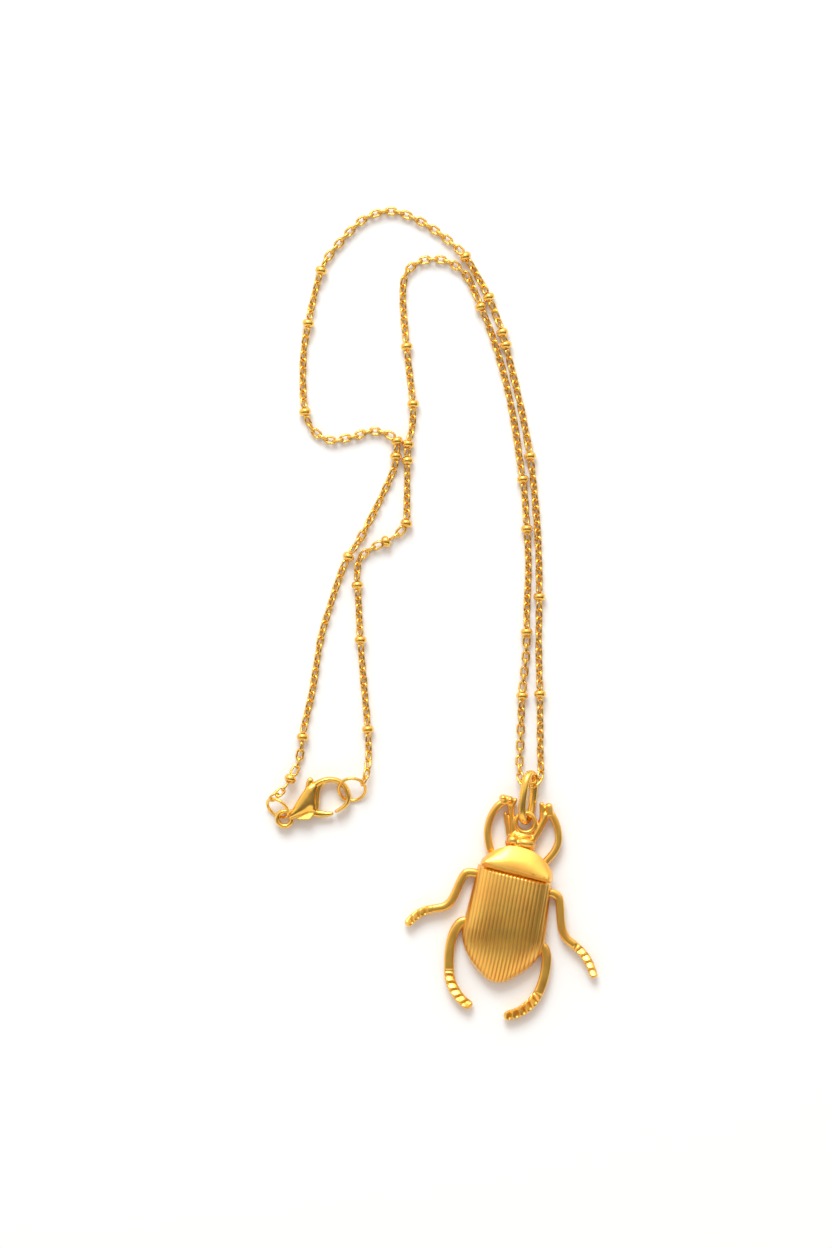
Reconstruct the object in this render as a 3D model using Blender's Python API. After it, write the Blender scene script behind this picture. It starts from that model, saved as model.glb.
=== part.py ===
"""Gold scarab pendant on a beaded cable chain, lying on a table at z = 0.

The beetle is one casting with a flat underside. An oval bail hangs it on the chain, which
runs as one line from the clasp's tail, round the loop, through the bail and back to the
clasp's hook. +Y runs from the beetle's hind feet to the top of the chain's loop.
"""

import math

import bmesh
import bpy
from mathutils import Matrix, Vector

UP = Vector((0, 0, 1))

# Beetle: drawn on a grid of 150 squares from its tail to the front of its head
BEETLE_LENGTH = 0.02625
BEETLE_SQUARES = 150
BEETLE_PLACE = (0.0134, -0.0509)
BEETLE_LEAN = -10.3
SHELL_FRONT = 31
SHELL_WIDEST = -28
SHELL_TAIL = -78.5
SHELL_FRONT_HALF_WIDTH = 37.5
SHELL_HALF_WIDTH = 42
SHELL_HEIGHT = 0.0045
SHELL_EDGE = 0.0016
SHELL_SLOPE_START = -15
SHELL_SLOPE_LENGTH = 70
COLLAR_HEIGHT = 0.0053
COLLAR_STEP = 0.0028
RIB_PITCH = 0.00066
RIB_DEPTH = 0.00022
LEG_HEIGHT = 0.0017
HORN_HEIGHT = 0.0014
THIN_HORN_HEIGHT = 0.9 * HORN_HEIGHT
PRONG_HEIGHT = 0.85 * HORN_HEIGHT
LEG_LIFT = 0.0003
LOBE_MIDDLE = 0.0022
LARGE_LOBE_RISE = 0.0017
SMALL_LOBE_RISE = 0.0015

# Eye at the beetle's head, which the bail runs through
EYE_CENTRE = (1.5, 84.5)
EYE_BORE = 0.0030
EYE_WALL = 0.0007
EYE_THICKNESS = 0.0010
EYE_CLEARANCE = 0.0003

# Bail: an oval ring that stands on its right arm, tilted about its long axis
BAIL_LENGTH = 0.0096
BAIL_WIDTH = 0.0049
BAIL_WIRE = 0.00118
BAIL_TILT = 60.0
BAIL_LEAN = -7.0
BAIL_SLACK = 0.0011
BAIL_OFFSET = -1.5
BAIL_SQUARENESS = 2.4

# Chain: oval links, each a quarter turn from the last, with beads threaded on it
LINK_LENGTH = 0.00198
LINK_WIDTH = 0.00147
LINK_WIRE = 0.0003
BEAD_DIAMETER = 0.0022
BEAD_LENGTH = 0.0013
BEAD_BORE = 0.00095
BEAD_SHOULDER = 0.8
BEAD_CLEARANCE = 0.00012
RUN_THICKNESS = 0.00072
RUN_INSERT = 0.00012
BEAD_SWELL = 0.0022
BAIL_RISE = 0.0016
BAIL_REACH = 0.0034
END_REACH = 0.0030

# Clasp: drawn on a grid of 80 squares from its tail ring to the end of its hook
CLASP_LENGTH = 0.0140
CLASP_SQUARES = 80
CLASP_PLACE = (-0.0204, -0.0331)
CLASP_LEAN = 18.0
CLASP_THICKNESS = 0.0024
HOOK_ROOT_THICKNESS = 0.0022
HOOK_THICKNESS = 0.0010
GATE_THICKNESS = 0.0010
GATE_CLEARANCE = 0.00006
PIVOT = (-8, -3)
PIN_DIAMETER = 0.0006
PIN_HOLD = 0.00017
TAIL_CENTRE = (-34.5, -5)
TAIL_BORE_RADIUS = 5
TAIL_RING_RADIUS = 8.6
TAIL_RING_THICKNESS = 0.0008

# Middle line of the clasp's hook from its root to its tip: x, y and half its width in squares
HOOK_LINE = (
    (3, 14, 4.2), (10, 18.2, 3.2), (16, 18.9, 2.9), (22, 17.9, 2.7), (26.7, 15.2, 2.5), (30.3, 11.3, 2.45),
    (32.9, 6.8, 2.35), (34.1, 1, 2.25), (33.4, -4.2, 2.2), (30.8, -8.6, 2.1), (26.7, -11.6, 1.9),
    (21.5, -13.2, 1.7), (15.4, -14, 1.3),
)

# Jump rings at the clasp's two ends: centre in clasp squares, tilt, and where the chain's last link hangs
RING_WIRE = 0.00056
LINK_SLACK = 0.0001
HOOK_RING_CENTRE = (38.6, 2.0)
HOOK_RING_DIAMETER = 0.00525
HOOK_RING_TILT = 31.0
HOOK_RING_LINK = 35.0
TAIL_JUMP_CENTRE = (-37.6, 7.4)
TAIL_JUMP_WAY = (0.55, -0.83)
TAIL_RING_DIAMETER = 0.0047
TAIL_RING_TILT = 50.0
TAIL_JUMP_LINK = 30.0

# The chain's way over the table, from the clasp's tail ring to its hook ring
ROUTE = (
    (-0.0271, -0.0315), (-0.0258, -0.0303), (-0.0248, -0.0287), (-0.0236, -0.0264),
    (-0.0230, -0.0235), (-0.0224, -0.0194), (-0.0211, -0.0138), (-0.0195, -0.0040),
    (-0.0183, 0.0002), (-0.0160, 0.0072), (-0.0148, 0.0099), (-0.0129, 0.0128), (-0.0085, 0.0214),
    (-0.0065, 0.0262), (-0.0064, 0.0280), (-0.0062, 0.0302), (-0.0078, 0.0315),
    (-0.0113, 0.0320), (-0.0134, 0.0311), (-0.0153, 0.0308), (-0.0171, 0.0303),
    (-0.0200, 0.0313), (-0.0213, 0.0327), (-0.0223, 0.0353), (-0.0227, 0.0408),
    (-0.0225, 0.0464), (-0.0218, 0.0506), (-0.0206, 0.0562), (-0.0190, 0.0613),
    (-0.0166, 0.0646), (-0.0130, 0.0684), (-0.0109, 0.0698), (-0.0085, 0.0705),
    (-0.0066, 0.0705), (-0.0022, 0.0688), (0.0034, 0.0649), (0.0057, 0.0626),
    (0.0079, 0.0591), (0.0099, 0.0553), (0.0122, 0.0493), (0.0128, 0.0471), (0.0137, 0.0436),
    (0.0157, 0.0352), (0.0172, 0.0268), (0.0181, 0.0184), (0.0186, 0.0100),
    (0.0187, 0.0030), (0.0186, -0.0054), (0.0188, -0.0140), (0.0189, -0.0255),
    (0.0190, -0.0277), (0.0185, -0.0294), (0.0173, -0.0301), (0.0162, -0.0299),
    (0.0154, -0.0291), (0.0152, -0.0275), (0.0154, -0.0222), (0.0157, -0.0140),
    (0.0164, -0.0068), (0.0165, 0.0002), (0.0168, 0.0086), (0.0165, 0.0151),
    (0.0161, 0.0212), (0.0153, 0.0268), (0.0145, 0.0324), (0.0128, 0.0408),
    (0.0103, 0.0492), (0.0084, 0.0539), (0.0059, 0.0593), (0.0032, 0.0615),
    (-0.0001, 0.0622), (-0.0032, 0.0612), (-0.0047, 0.0595), (-0.0052, 0.0562),
    (-0.0045, 0.0466), (-0.0037, 0.0394), (-0.0034, 0.0366), (-0.0036, 0.0324),
    (-0.0043, 0.0296), (-0.0044, 0.0256), (-0.0045, 0.0184), (-0.0046, 0.0158),
    (-0.0062, 0.0138), (-0.0083, 0.0126), (-0.0108, 0.0114), (-0.0128, 0.0096),
    (-0.0132, 0.0070), (-0.0130, 0.0030), (-0.0126, -0.0048), (-0.0120, -0.0124),
    (-0.0113, -0.0205), (-0.0112, -0.0250), (-0.0114, -0.0272), (-0.0117, -0.0286),
)

# How far along the route each bead sits
BEAD_PLACES = (
    0.0035, 0.0112, 0.0439, 0.0635, 0.0662, 0.0858, 0.1014, 0.1109, 0.1434, 0.1516,
    0.1582, 0.1605, 0.1804, 0.2051, 0.2221, 0.2561, 0.2673, 0.2854, 0.2941, 0.3253,
    0.3567, 0.3668, 0.3739, 0.3768, 0.3878, 0.3927, 0.4030, 0.4126, 0.4283,
)

# Beads that a run of links goes right through, counted from the clasp's tail
THREADED_BEADS = (2, 7, 10, 14, 18, 21, 26)

GRID = BEETLE_LENGTH / BEETLE_SQUARES
CLASP_GRID = CLASP_LENGTH / CLASP_SQUARES
EYE_LIFT = BAIL_WIRE + EYE_CLEARANCE
LINK_PITCH = LINK_LENGTH - 2 * LINK_WIRE
CHAIN_LIE = LINK_WIDTH / 2


def gold(name, color, roughness):
    """A gold finish for one kind of piece."""
    material = bpy.data.materials.new(name)
    material.use_nodes = True
    shader = material.node_tree.nodes["Principled BSDF"]
    shader.inputs["Base Color"].default_value = (*color, 1)
    shader.inputs["Metallic"].default_value = 1
    shader.inputs["Roughness"].default_value = roughness
    return material


def mesh_of(name, vertices, faces):
    """A mesh whose faces all point outwards."""
    mesh = bpy.data.meshes.new(name)
    shape = bmesh.new()
    corners = [shape.verts.new(vertex) for vertex in vertices]
    for face in faces:
        shape.faces.new([corners[index] for index in face])
    bmesh.ops.recalc_face_normals(shape, faces=shape.faces)
    shape.to_mesh(mesh)
    shape.free()
    return mesh


def piece(name, mesh, material):
    """A finished piece in the scene, round faces smooth and corners sharp."""
    item = bpy.data.objects.new(name, mesh)
    bpy.context.scene.collection.objects.link(item)
    mesh.materials.clear()
    mesh.materials.append(material)
    mesh.shade_smooth()
    mesh.set_sharp_from_angle(angle=math.radians(35))
    return item


def helper(mesh):
    """A shape that only serves to make another."""
    item = bpy.data.objects.new("helper", mesh)
    bpy.context.scene.collection.objects.link(item)
    return item


def combine(mesh, other, operation, solver="EXACT"):
    """The first mesh joined with, cut by or kept inside the other."""
    body = helper(mesh)
    tool = helper(other)
    step = body.modifiers.new("combine", "BOOLEAN")
    step.operation = operation
    step.solver = solver
    step.object = tool
    graph = bpy.context.evaluated_depsgraph_get()
    result = bpy.data.meshes.new_from_object(body.evaluated_get(graph))
    for item in (body, tool):
        bpy.data.objects.remove(item)
    return result


def fuse(meshes, solver="EXACT"):
    """All the meshes joined into one body."""
    result = meshes[0]
    for other in meshes[1:]:
        result = combine(result, other, "UNION", solver)
    return result


def placed(mesh, place, lean):
    """The mesh turned about Z and set down at its place on the table."""
    mesh.transform(Matrix.Translation((*place, 0)) @ Matrix.Rotation(math.radians(lean), 4, "Z"))
    return mesh


def smooth_route(points, step):
    """Points a step apart on a centripetal Catmull-Rom curve through the given points."""
    points = [Vector(point) for point in points]
    first = points[0] * 2 - points[1]
    last = points[-1] * 2 - points[-2]
    ends = [first, *points, last]
    dense = []
    for p0, p1, p2, p3 in zip(ends, ends[1:], ends[2:], ends[3:]):
        t1 = math.sqrt((p1 - p0).length)
        t2 = t1 + math.sqrt((p2 - p1).length)
        t3 = t2 + math.sqrt((p3 - p2).length)
        pieces = max(2, round((p2 - p1).length / step * 4))
        for index in range(pieces):
            t = t1 + (t2 - t1) * index / pieces
            a1 = p0.lerp(p1, t / t1)
            a2 = p1.lerp(p2, (t - t1) / (t2 - t1))
            a3 = p2.lerp(p3, (t - t2) / (t3 - t2))
            b1 = a1.lerp(a2, t / t2)
            b2 = a2.lerp(a3, (t - t1) / (t3 - t1))
            dense.append(b1.lerp(b2, (t - t1) / (t2 - t1)))
    dense.append(points[-1])
    return dense


def lengths_along(path):
    """How far along the path each of its points is."""
    lengths = [0.0]
    for start, end in zip(path, path[1:]):
        lengths.append(lengths[-1] + (end - start).length)
    return lengths


def between(pairs, x):
    """Straight interpolation in a list of pairs that rises in its first value."""
    for (x0, y0), (x1, y1) in zip(pairs, pairs[1:]):
        if x <= x1:
            return y0 + (y1 - y0) * max(0.0, (x - x0) / (x1 - x0))
    return pairs[-1][1]


def sweep(path, half_widths, half_heights, sides, normal=UP, closed=False, turn=0.0):
    """A bar along the path, with a polygon section as wide and high as each place says."""
    count = len(path)
    vertices = []
    for index, point in enumerate(path):
        before = path[index - 1] if closed or index else point
        after = path[(index + 1) % count] if closed or index < count - 1 else point
        along = (after - before).normalized()
        across = along.cross(normal).normalized()
        rise = across.cross(along)
        for side in range(sides):
            angle = turn + 2 * math.pi * side / sides
            out = across * math.cos(angle) * half_widths[index]
            vertices.append(point + out + rise * math.sin(angle) * half_heights[index])
    faces = []
    for index in range(count if closed else count - 1):
        here = index * sides
        there = (index + 1) % count * sides
        for side in range(sides):
            following = (side + 1) % sides
            faces.append((here + side, there + side, there + following, here + following))
    if not closed:
        faces.append(tuple(range(sides)))
        faces.append(tuple(reversed(range((count - 1) * sides, count * sides))))
    return mesh_of("sweep", vertices, faces)


def ring(centre, long_half, short_half, wire, long_way, normal, stations, sides, squareness=2.0):
    """A closed oval ring of round wire, whose plane is square to the normal."""
    short_way = normal.cross(long_way).normalized()
    power = 2 / squareness
    path = []
    for index in range(stations):
        angle = 2 * math.pi * index / stations
        cosine = math.cos(angle)
        sine = math.sin(angle)
        far = math.copysign(abs(cosine) ** power, cosine) * (long_half - wire / 2)
        side = math.copysign(abs(sine) ** power, sine) * (short_half - wire / 2)
        path.append(centre + long_way * far + short_way * side)
    radii = [wire / 2] * stations
    return sweep(path, radii, radii, sides, normal, closed=True)


def slab(outline, low, high):
    """A flat plate of the given outline between two heights."""
    count = len(outline)
    vertices = [(x, y, low) for x, y in outline] + [(x, y, high) for x, y in outline]
    faces = [tuple(range(count)), tuple(range(count, 2 * count))]
    for index in range(count):
        following = (index + 1) % count
        faces.append((index, following, count + following, count + index))
    return mesh_of("slab", vertices, faces)


def dome(outline, centre, levels):
    """A rounded cap: the outline shrinks towards the centre from level to level."""
    count = len(outline)
    vertices = []
    for height, share in levels:
        for x, y in outline:
            reach_x = (x - centre[0]) * share
            reach_y = (y - centre[1]) * share
            vertices.append((centre[0] + reach_x, centre[1] + reach_y, height))
    faces = [tuple(range(count)), tuple(range(len(vertices) - count, len(vertices)))]
    for level in range(len(levels) - 1):
        for index in range(count):
            following = (index + 1) % count
            low = level * count
            faces.append((low + index, low + following, low + count + following, low + count + index))
    return mesh_of("dome", vertices, faces)


def ball(centre, radii, around, up):
    """An egg-shaped lobe."""
    shape = bmesh.new()
    bmesh.ops.create_uvsphere(shape, u_segments=around, v_segments=up, radius=1)
    place = Matrix.Translation(centre) @ Matrix.Diagonal((*radii, 1))
    bmesh.ops.transform(shape, matrix=place, verts=shape.verts)
    mesh = bpy.data.meshes.new("ball")
    shape.to_mesh(mesh)
    shape.free()
    return mesh


def on_grid(points, grid=GRID):
    """Grid squares as metres."""
    return [tuple(value * grid for value in point) for point in points]


def circle(centre, radius, count):
    """The corners of a regular polygon round a centre."""
    corners = []
    for index in range(count):
        angle = 2 * math.pi * index / count
        corners.append((centre[0] + radius * math.cos(angle), centre[1] + radius * math.sin(angle)))
    return corners


# Beetle


def shell_half_width(y):
    """Half the wing cases' width in grid squares, widening backwards and closing at the tail."""
    if y > SHELL_WIDEST:
        share = (y - SHELL_WIDEST) / (SHELL_FRONT - SHELL_WIDEST)
        return SHELL_HALF_WIDTH + (SHELL_FRONT_HALF_WIDTH - SHELL_HALF_WIDTH) * share
    share = (SHELL_WIDEST - y) / (SHELL_WIDEST - SHELL_TAIL)
    return SHELL_HALF_WIDTH * max(0.0, 1 - share**2) ** 0.7


def shell_height(x, y):
    """The wing cases' smooth top, flat along the back and falling to the sides and the tail."""
    half = max(shell_half_width(y), 0.01)
    side = min(1.0, abs(x) / half)
    fall = max(0.0, (SHELL_SLOPE_START - y) / SHELL_SLOPE_LENGTH)
    crown = (SHELL_HEIGHT - SHELL_EDGE) * (1 - fall**2.2) * (1 - side**3) ** 0.6
    return SHELL_EDGE + crown


def wing_cases():
    """The ribbed wing cases, trimmed to their outline."""
    columns = 4 * math.ceil(SHELL_HALF_WIDTH * GRID / RIB_PITCH) + 1
    rows = (SHELL_FRONT, SHELL_SLOPE_START, -30, -41, -51, -60, -67, -72, -76, -79.5, -82)
    vertices = []
    for y in rows:
        for column in range(columns):
            x = (column - (columns - 1) / 2) * RIB_PITCH / 2
            rib = RIB_DEPTH / 2 if column % 2 else -RIB_DEPTH / 2
            vertices.append((x, y * GRID, shell_height(x / GRID, y) + rib))
    top = len(vertices)
    faces = []
    for row in range(len(rows) - 1):
        for column in range(columns - 1):
            corner = row * columns + column
            quad = (corner, corner + 1, corner + columns + 1, corner + columns)
            faces += [quad[:3], (quad[0], quad[2], quad[3])]
    edge = list(range(columns))
    edge += [row * columns + columns - 1 for row in range(1, len(rows))]
    edge += list(reversed(range((len(rows) - 1) * columns, len(rows) * columns - 1)))
    edge += [row * columns for row in range(len(rows) - 2, 0, -1)]
    vertices += [(vertices[index][0], vertices[index][1], 0.0) for index in edge]
    for step, here in enumerate(edge):
        following = (step + 1) % len(edge)
        faces.append((here, edge[following], top + following, top + step))
    faces.append(tuple(range(top, top + len(edge))))
    block = mesh_of("block", vertices, faces)
    right = []
    for index in range(16):
        y = SHELL_FRONT - (SHELL_FRONT - SHELL_TAIL) * math.sin(math.pi / 2 * index / 16)
        right.append((shell_half_width(y), y))
    outline = right + [(0, SHELL_TAIL)] + [(-x, y) for x, y in reversed(right)]
    trim = slab(on_grid(outline), -SHELL_HEIGHT, 2 * SHELL_HEIGHT)
    return combine(block, trim, "INTERSECT")


def collar():
    """The smooth plate behind the head, stepping down to a groove in front of the wing cases."""
    arc = [math.pi * index / 14 for index in range(15)]
    base = [(36 * math.cos(a), 34 + 25 * math.sin(a)) for a in arc] + [(-35, 29), (35, 29)]
    cap = [(36.3 * math.cos(a), 36.5 + 23.5 * math.sin(a)) for a in arc] + [(-18, 37), (18, 37)]
    rise = COLLAR_HEIGHT - COLLAR_STEP
    levels = (
        (COLLAR_STEP, 0.96), (COLLAR_STEP + 0.22 * rise, 1.0), (COLLAR_STEP + 0.52 * rise, 0.93),
        (COLLAR_STEP + 0.80 * rise, 0.76), (COLLAR_STEP + 0.96 * rise, 0.45), (COLLAR_HEIGHT, 0.12),
    )
    lower = slab(on_grid(base), 0.0, COLLAR_STEP + 0.05 * rise)
    upper = dome(on_grid(cap), (0, 46 * GRID), levels)
    return fuse([lower, upper])


def head():
    """Two lobes in front of the collar, on a low block."""
    outline = [(-15, 50), (15, 50), (15, 66), (9, 73), (-8, 73), (-15, 68)]
    block = slab(on_grid(outline), 0.0, EYE_LIFT + EYE_THICKNESS)
    lobes = [
        ball((4.5 * GRID, 64 * GRID, LOBE_MIDDLE), (9.8 * GRID, 6.5 * GRID, LARGE_LOBE_RISE), 12, 8),
        ball((-8.8 * GRID, 65 * GRID, LOBE_MIDDLE), (5.8 * GRID, 5.8 * GRID, SMALL_LOBE_RISE), 10, 8),
    ]
    return fuse([block, *lobes])


def eye():
    """The ring that the bail runs through, held above the bail's lower arm."""
    stations = 18
    middle = EYE_LIFT + EYE_THICKNESS / 2
    corners = circle(on_grid([EYE_CENTRE])[0], (EYE_BORE + EYE_WALL) / 2, stations)
    path = [Vector((x, y, middle)) for x, y in corners]
    return sweep(path, [EYE_WALL / 2] * stations, [EYE_THICKNESS / 2] * stations, 6, closed=True)


def limb(points, stations, teeth=0, toothed_share=0.4, tall=LEG_HEIGHT):
    """A leg along the points (x, y, half-width in squares), with notches towards its foot."""
    height = tall / 2
    centre = LEG_LIFT + LEG_HEIGHT / 2
    route = smooth_route([(x * GRID, y * GRID, 0) for x, y, _ in points], GRID * 4)
    marks = lengths_along(route)
    at_points = lengths_along([Vector((x * GRID, y * GRID, 0)) for x, y, _ in points])
    stretch = marks[-1] / at_points[-1]
    widths = [(mark * stretch, width * GRID) for mark, (_, _, width) in zip(at_points, points)]
    length = marks[-1]
    if teeth:
        start = length * (1 - toothed_share)
        steps = 2 * teeth + 1
        plain = [start * index / stations for index in range(stations)]
        toothed = [start + (length - start) * index / steps for index in range(steps + 1)]
    else:
        plain = []
        toothed = [length * index / stations for index in range(stations + 1)]
    path = []
    half_widths = []
    half_heights = []
    pairs_x = [(mark, point.x) for mark, point in zip(marks, route)]
    pairs_y = [(mark, point.y) for mark, point in zip(marks, route)]
    for index, mark in enumerate(plain + toothed):
        notch = teeth and index >= len(plain) and (index - len(plain)) % 2
        path.append(Vector((between(pairs_x, mark), between(pairs_y, mark), centre)))
        half_widths.append(between(widths, mark) * (0.88 if notch else 1.0))
        half_heights.append(height * (0.78 if notch else 1.0))
    return sweep(path, half_widths, half_heights, 6, turn=math.pi / 6)


def legs():
    """Front, middle and hind legs, each as the casting bends it."""
    return [
        limb([(-19, 104, 4), (-24, 101, 4.6), (-28, 96.5, 4), (-32, 89, 3.6), (-34.3, 80, 3.5),
              (-34.5, 70, 3.6), (-32, 60, 3.8), (-27, 48, 3.8)], 10),
        limb([(19.5, 105.5, 3.4), (22.5, 101, 4.2), (26.5, 95.5, 4), (31, 89, 3.6), (35.3, 80, 3.5),
              (37, 70, 3.6), (34.5, 60, 3.8), (27, 46, 3.8)], 10),
        limb([(-36, 25, 4), (-48, 25, 4.4), (-52, 17, 4.2), (-54.5, 4, 4.3), (-58, -7, 4.5),
              (-63, -13, 4.4), (-72, -16.5, 4.2), (-82, -21, 4.2), (-90, -28, 4.2), (-98.5, -39, 4)],
             9, 3, 0.25),
        limb([(36, 19, 4), (46, 18, 4.4), (50, 8, 4.2), (53, -4, 4.3), (57, -15, 4.5),
              (62, -22.5, 4.4), (70, -27, 4.2), (80, -33, 4.2), (88, -41, 4.2), (98, -58, 4)], 9, 3, 0.25),
        limb([(-38, -24, 4.5), (-46.5, -28, 5), (-50, -40, 5), (-50.2, -58, 5), (-48, -72, 5),
              (-45, -83, 5), (-40, -92, 5), (-33, -99.5, 4.8), (-18, -107.5, 4.4)], 7, 6, 0.42),
        limb([(36, -34, 4.5), (44.5, -38, 5), (47, -52, 5), (46.5, -68, 5), (44.5, -81, 5),
              (40.5, -91, 5), (33.5, -100, 4.8), (25, -106, 4.6), (14, -110.5, 4.2)], 7, 6, 0.42),
    ]


def horns():
    """The struts beside the eye that carry the front feet and end in short prongs."""
    return [
        limb([(-11, 68, 2.6), (-15, 77, 2.4), (-19, 86, 2.2), (-20.5, 91, 1.6)], 4, tall=THIN_HORN_HEIGHT),
        limb([(-8, 70, 3.2), (-10.5, 82, 2.6), (-13.5, 91, 2.6), (-16.5, 98, 3), (-20, 102, 3.4)], 6,
             tall=HORN_HEIGHT),
        limb([(-15, 94, 2.4), (-13.8, 101, 2.4), (-11.5, 106.5, 2)], 3, tall=PRONG_HEIGHT),
        limb([(11, 68, 3), (14.5, 78, 3), (18.5, 88, 3.4), (20.5, 96, 3.4), (21, 101, 3.4)], 6,
             tall=HORN_HEIGHT),
        limb([(18, 86, 3), (17, 95, 2.8), (15.5, 101, 2.6), (13.5, 107.5, 2.2)], 4,
             tall=PRONG_HEIGHT),
    ]


def scarab(material):
    """The whole beetle as one casting."""
    # The exact solver drops the body where two horns and the eye cross, so this union uses the other one
    mesh = fuse([wing_cases(), collar(), head(), eye(), *horns(), *legs()], "MANIFOLD")
    return piece("scarab", placed(mesh, BEETLE_PLACE, BEETLE_LEAN), material)


def beetle_point(x, y, height):
    """A point of the beetle's grid in the scene."""
    turn = Matrix.Rotation(math.radians(BEETLE_LEAN), 3, "Z")
    return turn @ Vector((x * GRID, y * GRID, 0)) + Vector((*BEETLE_PLACE, height))


def bail_frame():
    """The bail's centre, its long way and the square to its plane."""
    long_way = Matrix.Rotation(math.radians(BAIL_LEAN), 3, "Z") @ Vector((0, 1, 0))
    tilt = math.radians(BAIL_TILT)
    across = long_way.cross(UP) * math.cos(tilt) - UP * math.sin(tilt)
    arm = (BAIL_WIDTH - BAIL_WIRE) / 2 * math.sin(tilt)
    rim = beetle_point(EYE_CENTRE[0] + BAIL_OFFSET, EYE_CENTRE[1] + (EYE_BORE + EYE_WALL) / 2 / GRID, 0)
    centre = rim + long_way * (BAIL_LENGTH / 2 - BAIL_WIRE - BAIL_SLACK) + UP * (BAIL_WIRE / 2 + arm)
    return centre, long_way, across.cross(long_way)


def bail(material):
    """The oval ring through the eye: one arm under the eye's rim, the other over it."""
    centre, long_way, normal = bail_frame()
    halves = (BAIL_LENGTH / 2, BAIL_WIDTH / 2)
    mesh = ring(centre, *halves, BAIL_WIRE, long_way, normal, 22, 6, BAIL_SQUARENESS)
    return piece("bail", mesh, material)


# Clasp


def clasp_point(x, y, height):
    """A point of the clasp's grid in the scene."""
    turn = Matrix.Rotation(math.radians(CLASP_LEAN), 3, "Z")
    return turn @ Vector((x * CLASP_GRID, y * CLASP_GRID, 0)) + Vector((*CLASP_PLACE, height))


def clasp_body(material):
    """The clasp's cast body: tail ring, two cheeks with the gate's slot between them, and the hook."""
    middle = CLASP_THICKNESS / 2
    outline = [
        (-27.5, -8), (-20, -9.8), (-11, -12.2), (-7, -10), (-1, -8.7), (0.5, -4), (3.2, 3), (5, 8.3),
        (8, 12.6), (8, 21), (-4.5, 19), (-8, 16), (-14, 11.5), (-20, 6.5), (-27.5, 2),
    ]
    cheeks = slab(on_grid(outline, CLASP_GRID), 0.0, CLASP_THICKNESS)
    hook_path = [Vector((x * CLASP_GRID, y * CLASP_GRID, middle)) for x, y, _ in HOOK_LINE]
    widths = [width * CLASP_GRID for _, _, width in HOOK_LINE]
    last = len(HOOK_LINE) - 1
    halves = []
    for index in range(last + 1):
        share = min(1.0, index / last * 1.8)
        halves.append((HOOK_ROOT_THICKNESS + (HOOK_THICKNESS - HOOK_ROOT_THICKNESS) * share) / 2)
    hook = sweep(hook_path, widths, halves, 8)
    stations = 16
    tail_corners = circle(TAIL_CENTRE, (TAIL_BORE_RADIUS + TAIL_RING_RADIUS) / 2, stations)
    tail_path = [Vector((x, y, middle)) for x, y in on_grid(tail_corners, CLASP_GRID)]
    tail_width = (TAIL_RING_RADIUS - TAIL_BORE_RADIUS) / 2 * CLASP_GRID
    tail = sweep(tail_path, [tail_width] * stations, [TAIL_RING_THICKNESS / 2] * stations, 6, closed=True)
    slot_outline = [
        (-16, -14), (18, -14), (18, 3), (1, 3), (-1.5, 8), (4, 18), (6.5, 24), (-16, 24), (-15.2, 8),
        (-16, 2),
    ]
    slot_half = GATE_THICKNESS / 2 + GATE_CLEARANCE
    slot = slab(on_grid(slot_outline, CLASP_GRID), middle - slot_half, middle + slot_half)
    pin_half = slot_half + PIN_HOLD
    pin_outline = circle(PIVOT, PIN_DIAMETER / 2 / CLASP_GRID, 10)
    pin = slab(on_grid(pin_outline, CLASP_GRID), middle - pin_half, middle + pin_half)
    mesh = combine(fuse([cheeks, hook, tail]), slot, "DIFFERENCE")
    mesh = combine(mesh, pin, "UNION")
    return piece("clasp_body", placed(mesh, CLASP_PLACE, CLASP_LEAN), material)


def clasp_gate(material):
    """The sprung gate with its thumb trigger, turning on the clasp's pin."""
    middle = CLASP_THICKNESS / 2
    outline = [
        (-12.5, -6), (-9, -10), (-3, -14.6), (2, -16.3), (8, -17), (12, -16.3), (13.8, -14.6), (13, -12.9),
        (8, -11.2), (0, -8.8), (-3.6, -5), (-3.6, -0.5), (-2.4, 8), (1, 16), (4.3, 21.5), (5.3, 24.5),
        (3.8, 26.9), (1, 27), (-2, 24.5), (-6, 17), (-9, 9), (-12, 1),
    ]
    plate = slab(on_grid(outline, CLASP_GRID), middle - GATE_THICKNESS / 2, middle + GATE_THICKNESS / 2)
    bore_radius = (PIN_DIAMETER / 2 + GATE_CLEARANCE) / CLASP_GRID
    bore = slab(on_grid(circle(PIVOT, bore_radius, 10), CLASP_GRID), 0.0, CLASP_THICKNESS)
    mesh = placed(combine(plate, bore, "DIFFERENCE"), CLASP_PLACE, CLASP_LEAN)
    pivot = clasp_point(*PIVOT, 0)
    mesh.transform(Matrix.Translation(-pivot))
    gate = piece("clasp_gate", mesh, material)
    gate.location = pivot
    return gate


class JumpRing:
    """A round ring of wire lying on its low side, tilted about its long way."""

    def __init__(self, centre, diameter, tilt, long_way, high_way):
        slope = math.radians(tilt)
        self.radius = diameter / 2
        self.middle = self.radius - RING_WIRE / 2
        self.long_way = long_way.normalized()
        self.high_way = (high_way.normalized() * math.cos(slope) + UP * math.sin(slope)).normalized()
        self.normal = self.long_way.cross(self.high_way)
        self.centre = clasp_point(*centre, RING_WIRE / 2 + self.middle * math.sin(slope))

    def mesh(self):
        return ring(self.centre, self.radius, self.radius, RING_WIRE, self.long_way, self.normal, 18, 6)

    def point(self, degrees):
        """The wire's centre at an angle from the long way towards the high side."""
        angle = math.radians(degrees)
        outward = self.long_way * math.cos(angle) + self.high_way * math.sin(angle)
        return self.centre + outward * self.middle

    def way(self, degrees):
        """The wire's direction at that angle."""
        angle = math.radians(degrees)
        return self.high_way * math.cos(angle) - self.long_way * math.sin(angle)


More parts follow.
